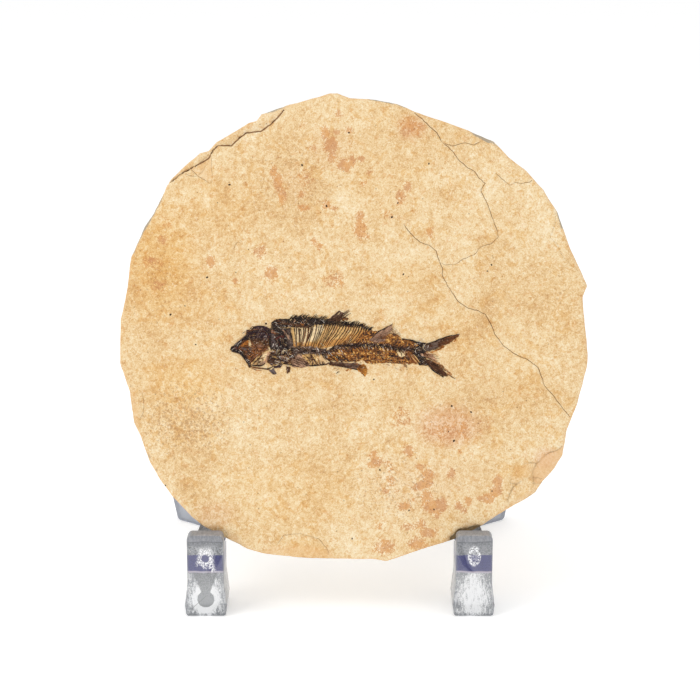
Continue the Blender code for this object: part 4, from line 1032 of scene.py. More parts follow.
# Bones drawn as tapered rods: colour, radius at its start, middle and end, height, line
RODS = (
    (BLACK_BONE, (0.16, 0.34, 0.3), 0.4, ((0.1, 0.0), (2.4, 1.9), (4.6, 3.7), (5.8, 5.4))),
    # A painted highlight along the snout's top line
    (GREY_BONE_AND_HIGHLIGHT, (0.06, 0.14, 0.1), 0.56, ((1.2, 1.3), (3.0, 2.8), (5.0, 4.4))),
    (BLACK_BONE, (0.3, 0.36, 0.2), 0.4, ((0.4, -0.3), (3.4, -1.3), (5.0, -3.4), (6.5, -5.5))),
    (BROWN_BONE, (0.14, 0.2, 0.12), 0.4, ((3.2, 1.4), (4.6, 2.7), (5.8, 3.3))),
    (BROWN_BONE, (0.1, 0.16, 0.12), 0.38, ((3.4, 0.6), (5.8, 0.7), (8.4, 0.1))),
    (GOLD, (0.12, 0.24, 0.14), 0.34, ((6.5, -4.9), (7.8, -3.6), (9.6, -2.2))),
    (BROWN_BONE, (0.12, 0.16, 0.1), 0.38, ((7.2, -4.9), (8.6, -3.4), (10.4, -1.8))),
    (AMBER, (0.1, 0.16, 0.1), 0.4, ((5.6, -3.2), (7.2, -1.8), (8.8, -1.2))),
    (BROWN_BONE, (0.1, 0.14, 0.1), 0.42, ((4.2, -0.9), (5.8, -1.6), (7.6, -3.0))),
    (BROWN_BONE, (0.1, 0.14, 0.1), 0.42, ((4.8, -2.0), (6.2, -2.3), (7.2, -3.6))),
    (GREY_BONE_AND_HIGHLIGHT, (0.08, 0.12, 0.08), 0.42, ((5.4, -0.9), (7.0, -1.0), (8.8, -1.8))),
    (RUST_BONE, (0.16, 0.26, 0.12), 0.16, ((6.2, -5.3), (8.0, -5.9), (10.4, -6.1), (12.6, -6.6))),
    (BLACK_BONE, (0.14, 0.24, 0.12), 0.22, ((7.0, -5.1), (9.0, -5.3), (10.4, -5.0), (11.2, -4.5))),
    (AMBER, (0.08, 0.16, 0.06), 0.1, ((6.8, -6.0), (8.4, -6.6), (10.2, -6.7))),
    (BLACK_BONE, (0.12, 0.2, 0.1), 0.24, ((10.2, -6.2), (12.0, -6.3), (13.6, -5.6))),
    (RUST_BONE, (0.06, 0.08, 0.06), 0.12, (
        (9.1, -3.1), (9.9, -2.8), (10.6, -3.4), (10.4, -4.2), (9.7, -4.5), (9.0, -4.1), (9.1, -3.1))),
    (PURPLE_BONE, (0.2, 0.3, 0.2), 0.6, ((6.8, 6.4), (9.0, 7.4), (11.4, 7.1), (12.8, 6.2))),
    (RUST_BONE, (0.1, 0.18, 0.1), 0.62, ((5.6, 5.6), (8.0, 6.4), (10.2, 6.5))),
    (PURPLE_BONE, (0.12, 0.24, 0.14), 0.6, ((6.4, 4.8), (8.8, 5.6), (11.0, 5.2), (12.4, 4.2))),
    (GREY_BONE_AND_HIGHLIGHT, (0.06, 0.12, 0.06), 0.62, ((10.4, 2.2), (11.6, 3.6), (12.0, 5.4))),
    (BROWN_BONE, (0.1, 0.14, 0.06), 0.5, ((7.4, 2.2), (8.4, 0.8), (9.0, -0.8))),
    (BROWN_BONE, (0.1, 0.14, 0.06), 0.5, ((11.6, 1.8), (10.8, 0.4), (9.6, -0.6))),
    (BLACK_BONE, (0.2, 0.3, 0.2), 0.62, ((12.6, 6.6), (13.0, 4.4), (12.6, 1.6), (13.2, -0.4))),
    (BLACK_BONE, (0.14, 0.26, 0.2), 0.64, ((19.0, 6.4), (19.6, 4.0), (19.9, 1.6), (19.4, -0.4))),
    (GREY_BONE_AND_HIGHLIGHT, (0.08, 0.14, 0.08), 0.7, ((15.8, 6.6), (17.6, 5.2), (18.4, 3.0), (18.5, 1.2))),
    (LILAC_BONE, (0.08, 0.12, 0.08), 0.68, ((13.4, 5.0), (14.0, 2.6), (14.0, 0.4))),
    (BLACK_BONE, (0.1, 0.2, 0.12), 0.68, ((14.6, 2.6), (16.0, 1.2), (18.0, 0.8))),
    (GREY_BONE_AND_HIGHLIGHT, (0.1, 0.18, 0.1), 0.62, ((13.2, 0.4), (14.6, -0.3), (16.0, 0.1))),
    (CREAM, (0.1, 0.16, 0.1), 0.56, ((17.0, -0.2), (17.6, -0.6), (18.3, -0.4))),
    (CREAM, (0.08, 0.12, 0.06), 0.56, ((18.9, -0.2), (19.4, 0.2), (19.9, 0.1))),
    (BLACK_BONE, (0.14, 0.24, 0.1), 0.46, ((12.4, -2.0), (13.6, -3.0), (15.4, -3.2), (18.6, -4.2))),
    (GREY_BONE_AND_HIGHLIGHT, (0.08, 0.16, 0.08), 0.5, ((12.6, -3.4), (13.6, -1.8), (15.4, -1.0))),
    (BLACK_BONE, (0.1, 0.22, 0.1), 0.48, ((13.0, -1.4), (15.0, -1.8), (17.6, -1.5), (19.8, -2.2))),
    (GREY_BONE_AND_HIGHLIGHT, (0.06, 0.12, 0.06), 0.5, ((14.2, -4.4), (15.0, -2.8), (15.2, -1.6))),
    (BLACK_BONE, (0.1, 0.18, 0.08), 0.42, ((15.4, -4.8), (17.2, -4.5), (19.2, -4.9), (22.0, -5.6))),
    (BROWN_BONE, (0.3, 0.44, 0.26), 0.34, ((14.0, 8.2), (17.2, 8.3), (21.0, 7.8), (25.0, 7.1))),
    (BLACK_BONE, (0.12, 0.2, 0.1), 0.36, ((13.2, 8.6), (15.4, 9.5), (18.6, 9.6), (20.6, 10.3))),
    (GREY_BONE_AND_HIGHLIGHT, (0.06, 0.12, 0.06), 0.42, ((13.6, 7.4), (15.4, 7.7), (17.0, 7.2))),
    (RUST_BONE, (0.08, 0.14, 0.06), 0.4, ((14.6, 9.0), (15.6, 9.2), (16.6, 8.9))),
    (BROWN_BONE, (0.34, 0.24, 0.2), 0.2, ((25.9, -1.7), (26.1, -3.2), (26.2, -5.1))),
    (BROWN_BONE, (0.12, 0.2, 0.16), 0.2, ((22.9, -2.9), (24.0, -4.0), (25.0, -4.9))),
    (BROWN_BONE, (0.14, 0.2, 0.14), 0.2, ((26.5, -3.1), (27.2, -4.2), (28.1, -5.0))),
    (BROWN_BONE, (0.08, 0.12, 0.06), 0.18, ((23.8, -1.9), (25.2, -3.0), (26.0, -3.4))),
    (BLACK_BONE, (0.14, 0.26, 0.2), 0.14, ((24.4, -5.2), (26.0, -5.3), (28.0, -5.1), (30.3, -4.8))),
    (BLACK_BONE, (0.05, 0.16, 0.18), 0.14, ((28.3, -4.0), (28.6, -4.5), (28.9, -5.0))),
    (BLACK_BONE, (0.05, 0.16, 0.18), 0.14, ((29.2, -3.9), (29.5, -4.4), (29.8, -4.9))),
    (BROWN_BONE, (0.16, 0.24, 0.14), 0.24, ((30.2, -2.4), (31.4, -3.5), (33.2, -4.4))),
    (BROWN_BONE, (0.1, 0.2, 0.1), 0.26, ((31.4, -2.0), (33.0, -3.0), (34.6, -4.3))),
    (BLACK_BONE, (0.1, 0.18, 0.1), 0.28, ((32.8, -1.8), (34.2, -2.7), (35.8, -4.1))),
    (BROWN_BONE, (0.1, 0.16, 0.1), 0.28, ((34.0, -1.8), (35.4, -2.7), (36.8, -4.0))),
    (BLACK_BONE, (0.1, 0.14, 0.08), 0.28, ((35.6, -2.0), (36.8, -2.9), (38.0, -4.0))),
    (BROWN_BONE, (0.2, 0.28, 0.2), 0.1, ((30.4, -4.9), (31.2, -4.4), (32.6, -4.6))),
    (BLACK_BONE, (0.1, 0.2, 0.08), 0.34, ((45.2, 3.6), (47.1, 5.6), (49.6, 6.9), (52.0, 8.2))),
    (BLACK_BONE, (0.14, 0.22, 0.26), 0.34, ((54.8, 3.4), (57.6, 3.0), (60.2, 2.1), (62.4, 1.8))),
    (CREAM, (0.04, 0.08, 0.04), 0.42, ((62.5, 1.7), (61.5, 1.0), (61.6, 0.1), (62.4, -0.5))),
    (GOLD, (0.06, 0.12, 0.06), 0.36, ((57.4, -1.8), (58.6, -3.2), (59.6, -4.3))),
    (GOLD, (0.06, 0.12, 0.06), 0.36, ((58.4, -1.6), (59.6, -3.0), (60.4, -4.2))),
    (BROWN_BONE, (0.1, 0.14, 0.05), 0.12, ((69.6, -8.1), (70.8, -8.9), (71.8, -9.4))),
    (BLACK_BONE, (0.2, 0.22, 0.08), 0.3, ((62.8, 1.6), (66.6, 3.1), (70.0, 4.3), (73.2, 4.9))),
    (BLACK_BONE, (0.22, 0.2, 0.1), 0.26, ((62.6, -4.2), (64.4, -6.5), (66.2, -7.8), (67.9, -8.9))),
    (BLACK_BONE, (0.14, 0.2, 0.1), 0.32, ((31.6, -4.9), (34.0, -5.1), (37.8, -5.9), (40.6, -6.5))),
    (LILAC_BONE, (0.06, 0.1, 0.06), 0.36, ((33.0, -4.4), (36.0, -4.7), (39.6, -5.0))),
    (AMBER, (0.1, 0.2, 0.1), 0.26, ((60.4, -0.7), (61.8, -0.9), (63.2, -0.9))),
)

# Where the ribs run, from the back down to the backbone
RIB_GUIDES = (
    ((20.4, 6.7), (20.9, 0.9)), ((22.8, 6.9), (22.6, 1.0)), ((25.4, 7.4), (23.9, 1.1)),
    ((28.6, 8.4), (26.2, 0.9)), ((31.2, 8.8), (27.9, 0.8)), ((33.3, 8.6), (29.4, 0.8)),
    ((36.4, 8.0), (31.8, 1.0)), ((39.1, 7.6), (35.0, 1.4)), ((41.9, 7.2), (38.2, 1.6)),
    ((43.8, 6.0), (41.0, 2.2)))
RIB_COUNT = 31
SECOND_RIBS = 0.2                            # share of the ribs with a thin one beside them
BACKBONE = (
    (20.0, -0.15), (24.0, -0.2), (28.3, -0.8), (30.6, -1.0), (32.8, 0.45), (36.0, 1.2), (40.5, 1.15),
    (43.0, 1.3), (46.3, 1.4), (50.3, 0.9), (53.2, 0.15), (56.0, 0.0), (59.4, -0.1), (62.4, -0.6))
BACK_LINE = ((19.6, 10.1), (23.0, 10.3), (26.0, 10.1), (28.4, 9.8), (31.2, 9.3))
REAR_BACK_LINE = ((32.0, 8.7), (35.0, 8.5), (38.3, 8.6), (41.9, 8.0), (45.2, 6.5))

# Short spines below the back: the line that they follow, their number, length and depth below it
BACK_SPINES = ((BACK_LINE, 21, 1.45, 0.4), (BACK_LINE, 18, 1.4, 1.5), (REAR_BACK_LINE, 24, 1.05, 0.4),
               (REAR_BACK_LINE, 20, 0.9, 1.1))
VERTEBRAE = 44
VERTEBRA_SHARE = 0.78                        # of the space from one to the next
HEAD_VERTEBRAE = 9                           # with no spine above, because the ribs are there

# Fans of fin rays: colour, radius, height, bases, tips, number of rays
RAY_FANS = (
    (BROWN_BONE, 0.1, 0.3, ((62.2, 1.6), (62.8, 1.0), (63.4, 0.0)),
     ((73.1, 4.8), (72.2, 3.9), (71.2, 3.0), (68.6, 1.4), (66.0, -0.2)), 12),
    (BROWN_BONE, 0.08, 0.28, ((62.2, -4.2), (62.7, -3.9), (63.0, -3.4)),
     ((67.8, -8.9), (69.3, -8.3), (70.1, -7.8), (69.0, -6.6), (67.4, -5.4)), 11),
    (RUST_BONE, 0.06, 0.14, ((61.4, -1.2), (61.8, -2.2)),
     ((65.0, -1.4), (66.2, -2.2), (66.8, -3.5), (66.4, -4.3)), 8),
    (BROWN_BONE, 0.12, 0.26, ((31.0, 9.3), (33.0, 9.2), (34.8, 9.0)),
     ((34.7, 12.5), (36.0, 12.1), (37.7, 12.8), (38.8, 11.7), (36.2, 10.6)), 9),
    (RUST_BONE, 0.07, 0.28, ((45.6, 3.8), (47.6, 3.4), (49.8, 3.4)),
     ((51.8, 7.9), (53.4, 6.2), (54.4, 4.7)), 11),
    (DEEP_AMBER, 0.08, 0.2, ((40.4, -4.8), (40.8, -5.4), (40.9, -6.2)),
     ((43.0, -4.8), (43.7, -6.4), (43.1, -8.7)), 9),
    (BROWN_BONE, 0.12, 0.34, ((31.8, -4.2), (31.8, -4.9)), ((41.6, -4.9), (41.0, -6.2)), 5),
    (BROWN_BONE, 0.07, 0.22, ((19.4, -1.9), (19.4, -4.6)),
     ((26.4, -3.9), (25.4, -4.9), (23.6, -5.8), (20.6, -5.6)), 11),
)

# Loose splinters: colours, height, the point that they lie round, how far from it and at which
# angles (degrees), how much they are turned from the arc round it, and their number
SPLINTERS = (
    ((GREY_BONE_AND_HIGHLIGHT, BLACK_BONE, BLACK_BONE, PURPLE_BONE, RUST_BONE),
     0.6, (9.0, 0.6), (2.2, 6.6), (20, 150), 0, 60),
    ((PALE_CHIP_AND_HIGHLIGHT, GREY_BONE_AND_HIGHLIGHT, BLACK_BONE, BLACK_BONE, DARK_RED, PURPLE_BONE),
     0.68, (12.4, 1.6), (1.0, 7.2), (-18, 75), 0, 60),
    ((PALE_CHIP_AND_HIGHLIGHT, GREY_BONE_AND_HIGHLIGHT, BLACK_BONE, BROWN_BONE, GOLD),
     0.48, (16.0, -9.0), (4.2, 8.6), (58, 122), 20, 56),
    ((AMBER, BROWN_BONE, RUST_BONE, BLACK_BONE), 0.46, (2.0, 3.6), (3.4, 8.6), (-66, -22), 70, 34),
    ((PALE_CHIP_AND_HIGHLIGHT, GREY_BONE_AND_HIGHLIGHT, BLACK_BONE, BLACK_BONE), 0.44, (25.0, -16.0), (14.4, 16.8), (66, 112), 50, 64),
    ((PALE_CHIP_AND_HIGHLIGHT, GOLD, BLACK_BONE, BLACK_BONE), 0.42, (45.0, -28.0), (27.8, 29.6), (68, 118), 60, 54),
    ((PALE_CHIP_AND_HIGHLIGHT, PINKISH, BLACK_BONE, GREY_BONE_AND_HIGHLIGHT), 0.36, (24.0, -18.0), (25.6, 28.2), (74, 112), 45, 44),
    ((BLACK_BONE, GREY_BONE_AND_HIGHLIGHT, PALE_CHIP_AND_HIGHLIGHT), 0.4, (60.8, 0.4), (0.4, 3.0), (-150, 150), 30, 22),
    ((GOLD, AMBER, BLACK_BONE, FIN), 0.3, (45.0, -22.0), (17.6, 21.8), (55, 128), 10, 90),
    ((GOLD, AMBER, BROWN_BONE, FIN), 0.18, (27.0, 6.0), (7.6, 10.8), (244, 292), 60, 44),
    ((BROWN_BONE, RUST_BONE, GOLD, AMBER), 0.3, (6.6, -5.8), (1.2, 5.8), (14, 52), 90, 24),
    ((GREY_BONE_AND_HIGHLIGHT, BLACK_BONE, PALE_CHIP_AND_HIGHLIGHT, DARK_RED), 0.52, (9.6, -7.0), (10.9, 11.7), (121, 142), 0, 26),
    ((BLACK_BONE, GREY_BONE_AND_HIGHLIGHT, BROWN_BONE, PALE_CHIP_AND_HIGHLIGHT), 0.5, (14.0, 8.0), (13.5, 14.5), (218, 236), 0, 22),
    ((PURPLE_BONE, BLACK_BONE, GREY_BONE_AND_HIGHLIGHT, DARK_RED), 0.64, (9.0, 0.6), (5.0, 6.7), (42, 118), 0, 40),
    ((PALE_CHIP_AND_HIGHLIGHT, CREAM, LILAC_BONE, BLACK_BONE), 0.66, (17.4, -0.8), (0.2, 2.6), (-180, 180), 30, 34),
    ((BROWN_BONE, BLACK_BONE, RUST_BONE, GOLD), 0.2, (26.0, -18.0), (13.2, 15.8), (80, 101), 60, 34),
)
ROD_STEP = 0.5
ROD_WANDER = 0.1
LOOSE_GRAIN = 0.9                            # millimetres to one patch of the pattern on the rods


def fish_points(along, up):
    return flat_points(FISH_SNOUT[0] + along, FISH_SNOUT[1] + up)


def vertex_places(mesh):
    places = np.empty(len(mesh.vertices) * 3)
    mesh.vertices.foreach_get("co", places)
    return places.reshape(-1, 3)


def streak_places(along, up, slope):
    """Places along and across a region's streaks, which are parallel or radiate from a point."""
    if isinstance(slope, tuple):
        away = np.hypot(along - slope[0], up - slope[1])
        turn = np.arctan2(up - slope[1], along - slope[0])
        return flat_points(away / STREAK_LENGTH, turn * 4.0 / STREAK_WIDTH * 0.5)
    cosine, sine = math.cos(math.radians(slope)), math.sin(math.radians(slope))
    return flat_points((along * cosine + up * sine) / STREAK_LENGTH,
                       (up * cosine - along * sine) / STREAK_WIDTH)


# The film: a fine grid, raised or sunk region by region, cut off where the stone is bare
bpy.ops.object.select_all(action="DESELECT")
bpy.ops.mesh.primitive_grid_add(x_subdivisions=round(FILM_LENGTH / FILM_STEP),
                                y_subdivisions=round(FILM_HEIGHT / FILM_STEP), size=1.0)
fish = bpy.context.object
fish.name = "fossil_fish_bones"
grid = vertex_places(fish.data)
along = FILM_START + (grid[:, 0] + 0.5) * FILM_LENGTH
up = FILM_LOWEST + (grid[:, 1] + 0.5) * FILM_HEIGHT
spots = fish_points(along, up)
ragged = [rough(spots, size, 3, 60.0 + size) for size in (0.8, 1.2, 1.8)]
film_height = np.full(len(spots), FILM_SUNK)
film_colour = np.tile(np.array(linear(GOLD)), (len(spots), 1))
film_kind = np.tile(np.array(SKIN), (len(spots), 1))
film_streaks = np.zeros((len(spots), 3))
for index, (colour, rise, kind, softness, slope, outline) in enumerate(REGIONS):
    inside = depth_inside(outline, along, up) + (0.2 + 0.9 * softness) * ragged[index % 3]
    share = smooth(-softness, softness, inside)
    film_height += (rise - film_height) * share
    film_kind += (np.array(kind) - film_kind) * share[:, None]
    film_streaks = np.where(share[:, None] > 0.5, streak_places(along, up, slope) + index, film_streaks)
    if colour is not BARE:
        film_colour += (np.array(linear(colour)) - film_colour) * share[:, None]
on_bone = smooth(0.0, 0.2, film_height)
film_height += on_bone * (FILM_RELIEF * rough(spots, 1.5, 4, 65.0)
                          + FILM_GRAIN * rough(spots, 0.6, 2, 66.0))
worn = smooth(0.3, 0.46, rough(spots, 1.5, 3, 68.0)) * smooth(0.24, 0.1, film_height)
film_height += (FILM_SUNK - film_height) * worn * on_bone
placed = on_slab(FISH_SNOUT[0] + along, -film_height, FISH_SNOUT[1] + up)
fish.data.vertices.foreach_set("co", placed.ravel())

sunk = film_height < FILM_SUNK + 0.03
bpy.ops.object.mode_set(mode="EDIT")
bpy.ops.mesh.select_mode(type="FACE")
bpy.ops.mesh.select_all(action="DESELECT")
bpy.ops.object.mode_set(mode="OBJECT")


def add_bone_values(mesh, colours, kinds, streaks):
    """What the bone's material reads at each point."""
    count = len(mesh.vertices)
    shades = mesh.attributes.new("bone_colour", "FLOAT_COLOR", "POINT")
    shades.data.foreach_set("color", np.column_stack((colours, np.ones(count))).ravel())
    for name, values in zip(("scaly", "flecked", "patched", "streaky"), kinds.T):
        add_values(mesh, name, values)
    mesh.attributes.new("streaks", "FLOAT_VECTOR", "POINT").data.foreach_set("vector", streaks.ravel())


add_bone_values(fish.data, film_colour, film_kind, film_streaks)
for face in fish.data.polygons:
    face.select = all(sunk[index] for index in face.vertices)
bpy.ops.object.mode_set(mode="EDIT")
bpy.ops.mesh.delete(type="FACE")
bpy.ops.mesh.select_all(action="SELECT")
bpy.ops.mesh.extrude_region_move(TRANSFORM_OT_translate={"value": (0.0, MM, 0.0)})
bpy.ops.object.mode_set(mode="OBJECT")
inwards = Vector((0.0, math.cos(LEAN), -math.sin(LEAN)))
for vert in fish.data.vertices:
    if vert.select:
        depth = (vert.co - SLAB_CENTRE).dot(inwards)
        vert.co += (FILM_UNDERSIDE * MM - depth) * inwards
bpy.ops.object.mode_set(mode="EDIT")
bpy.ops.mesh.select_all(action="SELECT")
bpy.ops.mesh.delete_loose()
bpy.ops.mesh.select_all(action="SELECT")
bpy.ops.mesh.normals_make_consistent(inside=False)
bpy.ops.object.mode_set(mode="OBJECT")
fish.data.shade_smooth()


def between(guides, share):
    """A point a share of the way along a broken line, whose points are evenly spread."""
    place = share * (len(guides) - 1)
    first = min(int(place), len(guides) - 2)
    return Vector(guides[first]).lerp(Vector(guides[first + 1]), place - first)


shaker = random.Random(11)
rods = list(RODS)
for index in range(RIB_COUNT):
    share = index / (RIB_COUNT - 1)
    head = between([guide[0] for guide in RIB_GUIDES], share)
    foot = between([guide[1] for guide in RIB_GUIDES], share)
    head += Vector((shaker.uniform(-0.16, 0.16), shaker.uniform(-0.3, 0.2)))
    foot += Vector((shaker.uniform(-0.25, 0.25), shaker.uniform(-0.6, 0.3)))
    bow = Vector((0.1 + 0.5 * share + shaker.uniform(-0.1, 0.1), 0.0))
    line = (head, head.lerp(foot, 0.22) + bow * 0.8, head.lerp(foot, 0.5) + bow * 0.7,
            head.lerp(foot, 0.78) - bow * 0.1, foot)
    thick = shaker.uniform(0.07, 0.12)
    colour = shaker.choice((BROWN_BONE, BLACK_BONE, BROWN_BONE, RUST_BONE))
    rods.append((colour, (thick * 1.8, thick, thick * 0.8), 0.2, line))
    if shaker.random() < SECOND_RIBS:
        beside = Vector((shaker.uniform(0.25, 0.4), 0.0))
        rods.append((BROWN_BONE, (0.06, 0.09, 0.04), 0.16,
                     (line[0] + beside, line[2] + beside * 0.8, line[3] + beside * 0.4)))
for guides, spine_count, reach, lowered in BACK_SPINES:
    for index in range(spine_count):
        foot = between(guides, index / (spine_count - 1))
        foot -= Vector((0.5, lowered + shaker.uniform(-0.1, 0.3)))
        spine = Vector((0.75, 0.85)) * reach * shaker.uniform(0.8, 1.4)
        hook = Vector((0.15, -0.05))
        thick = shaker.uniform(0.14, 0.22)
        rods.append((BLACK_BONE, (thick, thick * 0.9, 0.05), 0.32,
                     (foot, foot + spine * 0.6 - hook, foot + spine + hook)))
for index in range(VERTEBRAE):
    start = between(BACKBONE, index / VERTEBRAE)
    end = between(BACKBONE, (index + VERTEBRA_SHARE) / VERTEBRAE)
    sway = Vector((0.0, shaker.uniform(-0.16, 0.16)))
    thick = (0.42 - 0.14 * index / VERTEBRAE) * shaker.uniform(0.8, 1.15)
    near_head = index < VERTEBRAE / 4
    colour = shaker.choice((GREY_BONE_AND_HIGHLIGHT, BROWN_BONE, BLACK_BONE) if near_head else
                           (BLACK_BONE, BLACK_BONE, BLACK_BONE, GREY_BONE_AND_HIGHLIGHT))
    rods.append((colour, (thick, thick * 0.7, thick), 0.34, (start + sway, start.lerp(end, 0.5), end)))
    for way in (-1, 1):
        if index < HEAD_VERTEBRAE and way > 0:
            continue
        lean = Vector((0.75, way * 0.9)) * shaker.uniform(0.9, 2.2)
        spine = (start, start + lean * 0.5 + Vector((0.12, 0.0)), start + lean)
        rods.append((shaker.choice((BROWN_BONE, BLACK_BONE)), (0.16, 0.11, 0.05), 0.3, spine))
for colour, radius, height, bases, tips, ray_count in RAY_FANS:
    for index in range(ray_count):
        share = index / (ray_count - 1)
        base = between(bases, share)
        tip = between(tips, share) + Vector((shaker.uniform(-0.3, 0.3), shaker.uniform(-0.2, 0.2)))
        middle = base.lerp(tip, 0.5) + Vector((0.1, -0.1))
        thick = radius * shaker.uniform(0.8, 1.3)
        rods.append((colour, (thick * 1.4, thick, thick * 0.4), height, (base, middle, tip)))

for colours, height, centre, reaches, angles, turn, splinter_count in SPLINTERS:
    for index in range(splinter_count):
        angle = math.radians(shaker.uniform(*angles))
        outwards = Vector((math.cos(angle), math.sin(angle)))
        middle = Vector(centre) + outwards * shaker.uniform(*reaches)
        heading = angle + math.radians(90.0 - turn + shaker.uniform(-25.0, 25.0))
        half = Vector((math.cos(heading), math.sin(heading))) * shaker.uniform(0.25, 0.8)
        bow = Vector((half.y, -half.x)) * shaker.uniform(0.0, 0.3)
        thick = shaker.uniform(0.05, 0.12)
        rods.append((shaker.choice(colours), (thick * 0.5, thick, thick * 0.4),
                     height + shaker.uniform(-0.06, 0.08), (middle - half, middle + bow, middle + half)))

by_colour = {}
for rod in rods:
    by_colour.setdefault(rod[0], []).append(rod[1:])
bone_groups = []
for colour, group in by_colour.items():
    curve = bpy.data.curves.new("bones", "CURVE")
    curve.dimensions = "3D"
    curve.bevel_depth = 1 * MM
    curve.bevel_resolution = 1
    curve.use_fill_caps = True
    for radii, height, line in group:
        path = resampled([tuple(point) for point in line], ROD_STEP)
        wander = ROD_WANDER * cloud(fish_points(*path.T), 1.2, 70.0)
        path = path + np.column_stack((wander, -wander))
        share = np.linspace(0.0, 1.0, len(path))
        widths = np.interp(share, (0.0, 0.5, 1.0), radii)
        widths = widths * (1.0 + 0.45 * cloud(fish_points(*path.T), 0.9, 71.0))
        heights = height - 0.45 * widths + 0.08 * cloud(fish_points(*path.T), 1.7, 72.0)
        placed = on_slab(FISH_SNOUT[0] + path[:, 0], -heights, FISH_SNOUT[1] + path[:, 1])
        spline = curve.splines.new("POLY")
        spline.points.add(len(path) - 1)
        spline.points.foreach_set("co", np.column_stack((placed, np.ones(len(path)))).ravel())
        spline.points.foreach_set("radius", widths)
        spline.use_smooth = True
    bones = bpy.data.objects.new("bones", curve)
    bpy.context.scene.collection.objects.link(bones)
    select_only(bones)
    bpy.ops.object.convert(target="MESH")
    bones = bpy.context.object
    bpy.ops.object.mode_set(mode="EDIT")
    bpy.ops.mesh.select_all(action="SELECT")
    bpy.ops.mesh.remove_doubles(threshold=1e-7)
    bpy.ops.object.mode_set(mode="OBJECT")
    spots = vertex_places(bones.data)
    add_bone_values(bones.data, np.tile(np.array(linear(colour)), (len(spots), 1)),
                    np.tile(np.array(LOOSE_BONE), (len(spots), 1)), spots / MM / LOOSE_GRAIN)
    bone_groups.append(bones)
select_only(fish)
for bones in bone_groups:
    bones.select_set(True)
bpy.ops.object.join()


# Tones of the scales, from their bright middles to the dark gaps between them
SCALE_TONES = ((0.04, (236, 192, 118)), (0.17, (196, 128, 50)), (0.32, (142, 82, 32)),
               (0.47, (84, 46, 26)), (0.64, (36, 24, 20)))


def fossil_bone():
    """Dark satin bone, streaky and flecked with gold and with pale grey that is partly painted
    highlight, and amber scales with dark gaps.
    """
    material, shader, place = new_material("fossil_bone", {"Specular IOR Level": 0.16})
    face_on = slab_place(place).scaled(1.0, 0.15, 1.0)
    middling = face_on.noise(2.0, 4.0, 0.8)
    small = face_on.noise(0.6, 4.0, 0.8)
    grain = face_on.noise(0.26, 3.0)
    streak = place.given("streaks", 1).noise(1.0, 3.0, 0.6)

    # The bones' own colours, lighter and darker along their streaks, with patches of rust
    base = place.given("bone_colour", 0)
    light = 1.0 + (streak - 0.5) * 3.4 * place.given("streaky") + (small - 0.5) * 1.6
    bone = base.node("ShaderNodeVectorMath", {"operation": "SCALE"}, {
        0: base, "Scale": light.node("ShaderNodeClamp", {}, {"Value": light, "Min": 0.25, "Max": 2.6})})
    patched = place.given("patched") * middling.rise(0.54, 0.66) * streak.rise(0.42, 0.58)
    bone = (patched * 0.8).blend(bone, RUST_BONE)

    # Scales: the cells of a pattern at places that are shifted a little by noise
    bent = face_on.node("ShaderNodeTexNoise", {}, {"Vector": face_on, "Scale": 1.1}, output=1)
    bent = bent.node("ShaderNodeVectorMath", {"operation": "SCALE"}, {0: bent, "Scale": 1.1})
    warped = face_on.node("ShaderNodeVectorMath", {"operation": "ADD"}, {0: face_on, 1: bent})
    cells = warped.node("ShaderNodeTexVoronoi", {}, {"Vector": warped, "Scale": 1.35})
    tone = 0.16 + cells * 0.5 + (small - 0.5) * 1.9 + (middling - 0.5) * 1.3 + (grain - 0.5) * 1.1
    gilded = (streak * 0.5 + small * 0.5).rise(0.52, 0.58)
    scales = (gilded * 0.6).blend(tone.ramp(SCALE_TONES), GILT)
    scales = (middling.rise(0.56, 0.66) * 0.5).blend(scales, SMEAR)
    bone = place.given("scaly").rise(0.2, 0.8).blend(bone, scales)

    # Flecks of gold, pale chips that are partly painted highlights, and dark gaps
    flecked = place.given("flecked")
    gold = grain.rise(0.57, 0.67) * middling.rise(0.46, 0.58) * flecked
    bone = (gold * 0.75).blend(bone, GOLD)
    chips_and_highlights = (streak + (grain - 0.5) * 0.5).rise(0.6, 0.68) * small.rise(0.42, 0.52) * flecked
    bone = (chips_and_highlights * 0.8).blend(bone, PALE_CHIP_AND_HIGHLIGHT)
    dark = (streak + (grain - 0.5) * 0.5).rise(0.44, 0.36) * flecked
    (dark * 0.85).blend(bone, JET).feed(shader.inputs["Base Color"])

    (0.42 + small * 0.3).feed(shader.inputs["Roughness"])
    relief = small * 0.5 + grain * 0.3 + streak * 0.6 - cells * place.given("scaly") * 0.5
    relief.bump(0.7, 0.12).feed(shader.inputs["Normal"])
    return material


fish.data.materials.append(fossil_bone())
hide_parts("fossil_fish")
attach(fish, "root")


# --- Stand arms ------------------------------------------------------------------------------
# Two flat plates of clear plastic that slot together crosswise in a half-lap. Each has a front
# foot with a ledge that the slab's rim stands on, and rises along the slab's back.

STAND_OFFSET = -4.5                          # the stand is a little left of the slab's middle
STAND_FRONT = -50.715                        # its feet's front faces
TOUCH_GAP = 0.3                              # between the stand and the slab, and in the half-lap
SEAT_BACK = 5.0                              # from the feet's front faces to the slab's lower front
SEAT_HEIGHT = 23.6                           # edge, and that edge's height above the table
LEDGE_LEVEL = -67.818                        # below the slab's centre
LIP_CLEARANCE = 0.6
FOOT_WIDTH = 11.5
FOOT_DEPTH = 17.0
FOOT_HEIGHT = 26.7
FOOT_FLARE = 0.9
FOOT_SPACING = 84.6
ARM_THICKNESS = 5.0
ARM_START = (43.8, 14.0)                     # aside of the stand's middle, and behind its front
ARM_END = (-59.0, 99.85)
ARM_BAND = 12.0                              # width of the part that rises along the slab's back
ARM_TOP = 106.0
ARM_CREST = 6.0                              # length of its level top
ARM_OVERRUN = 8.0                            # into the slab, cut off again by the slab's room
ARCH_TOP = 86.0
ARCH_FRONT = 22.0
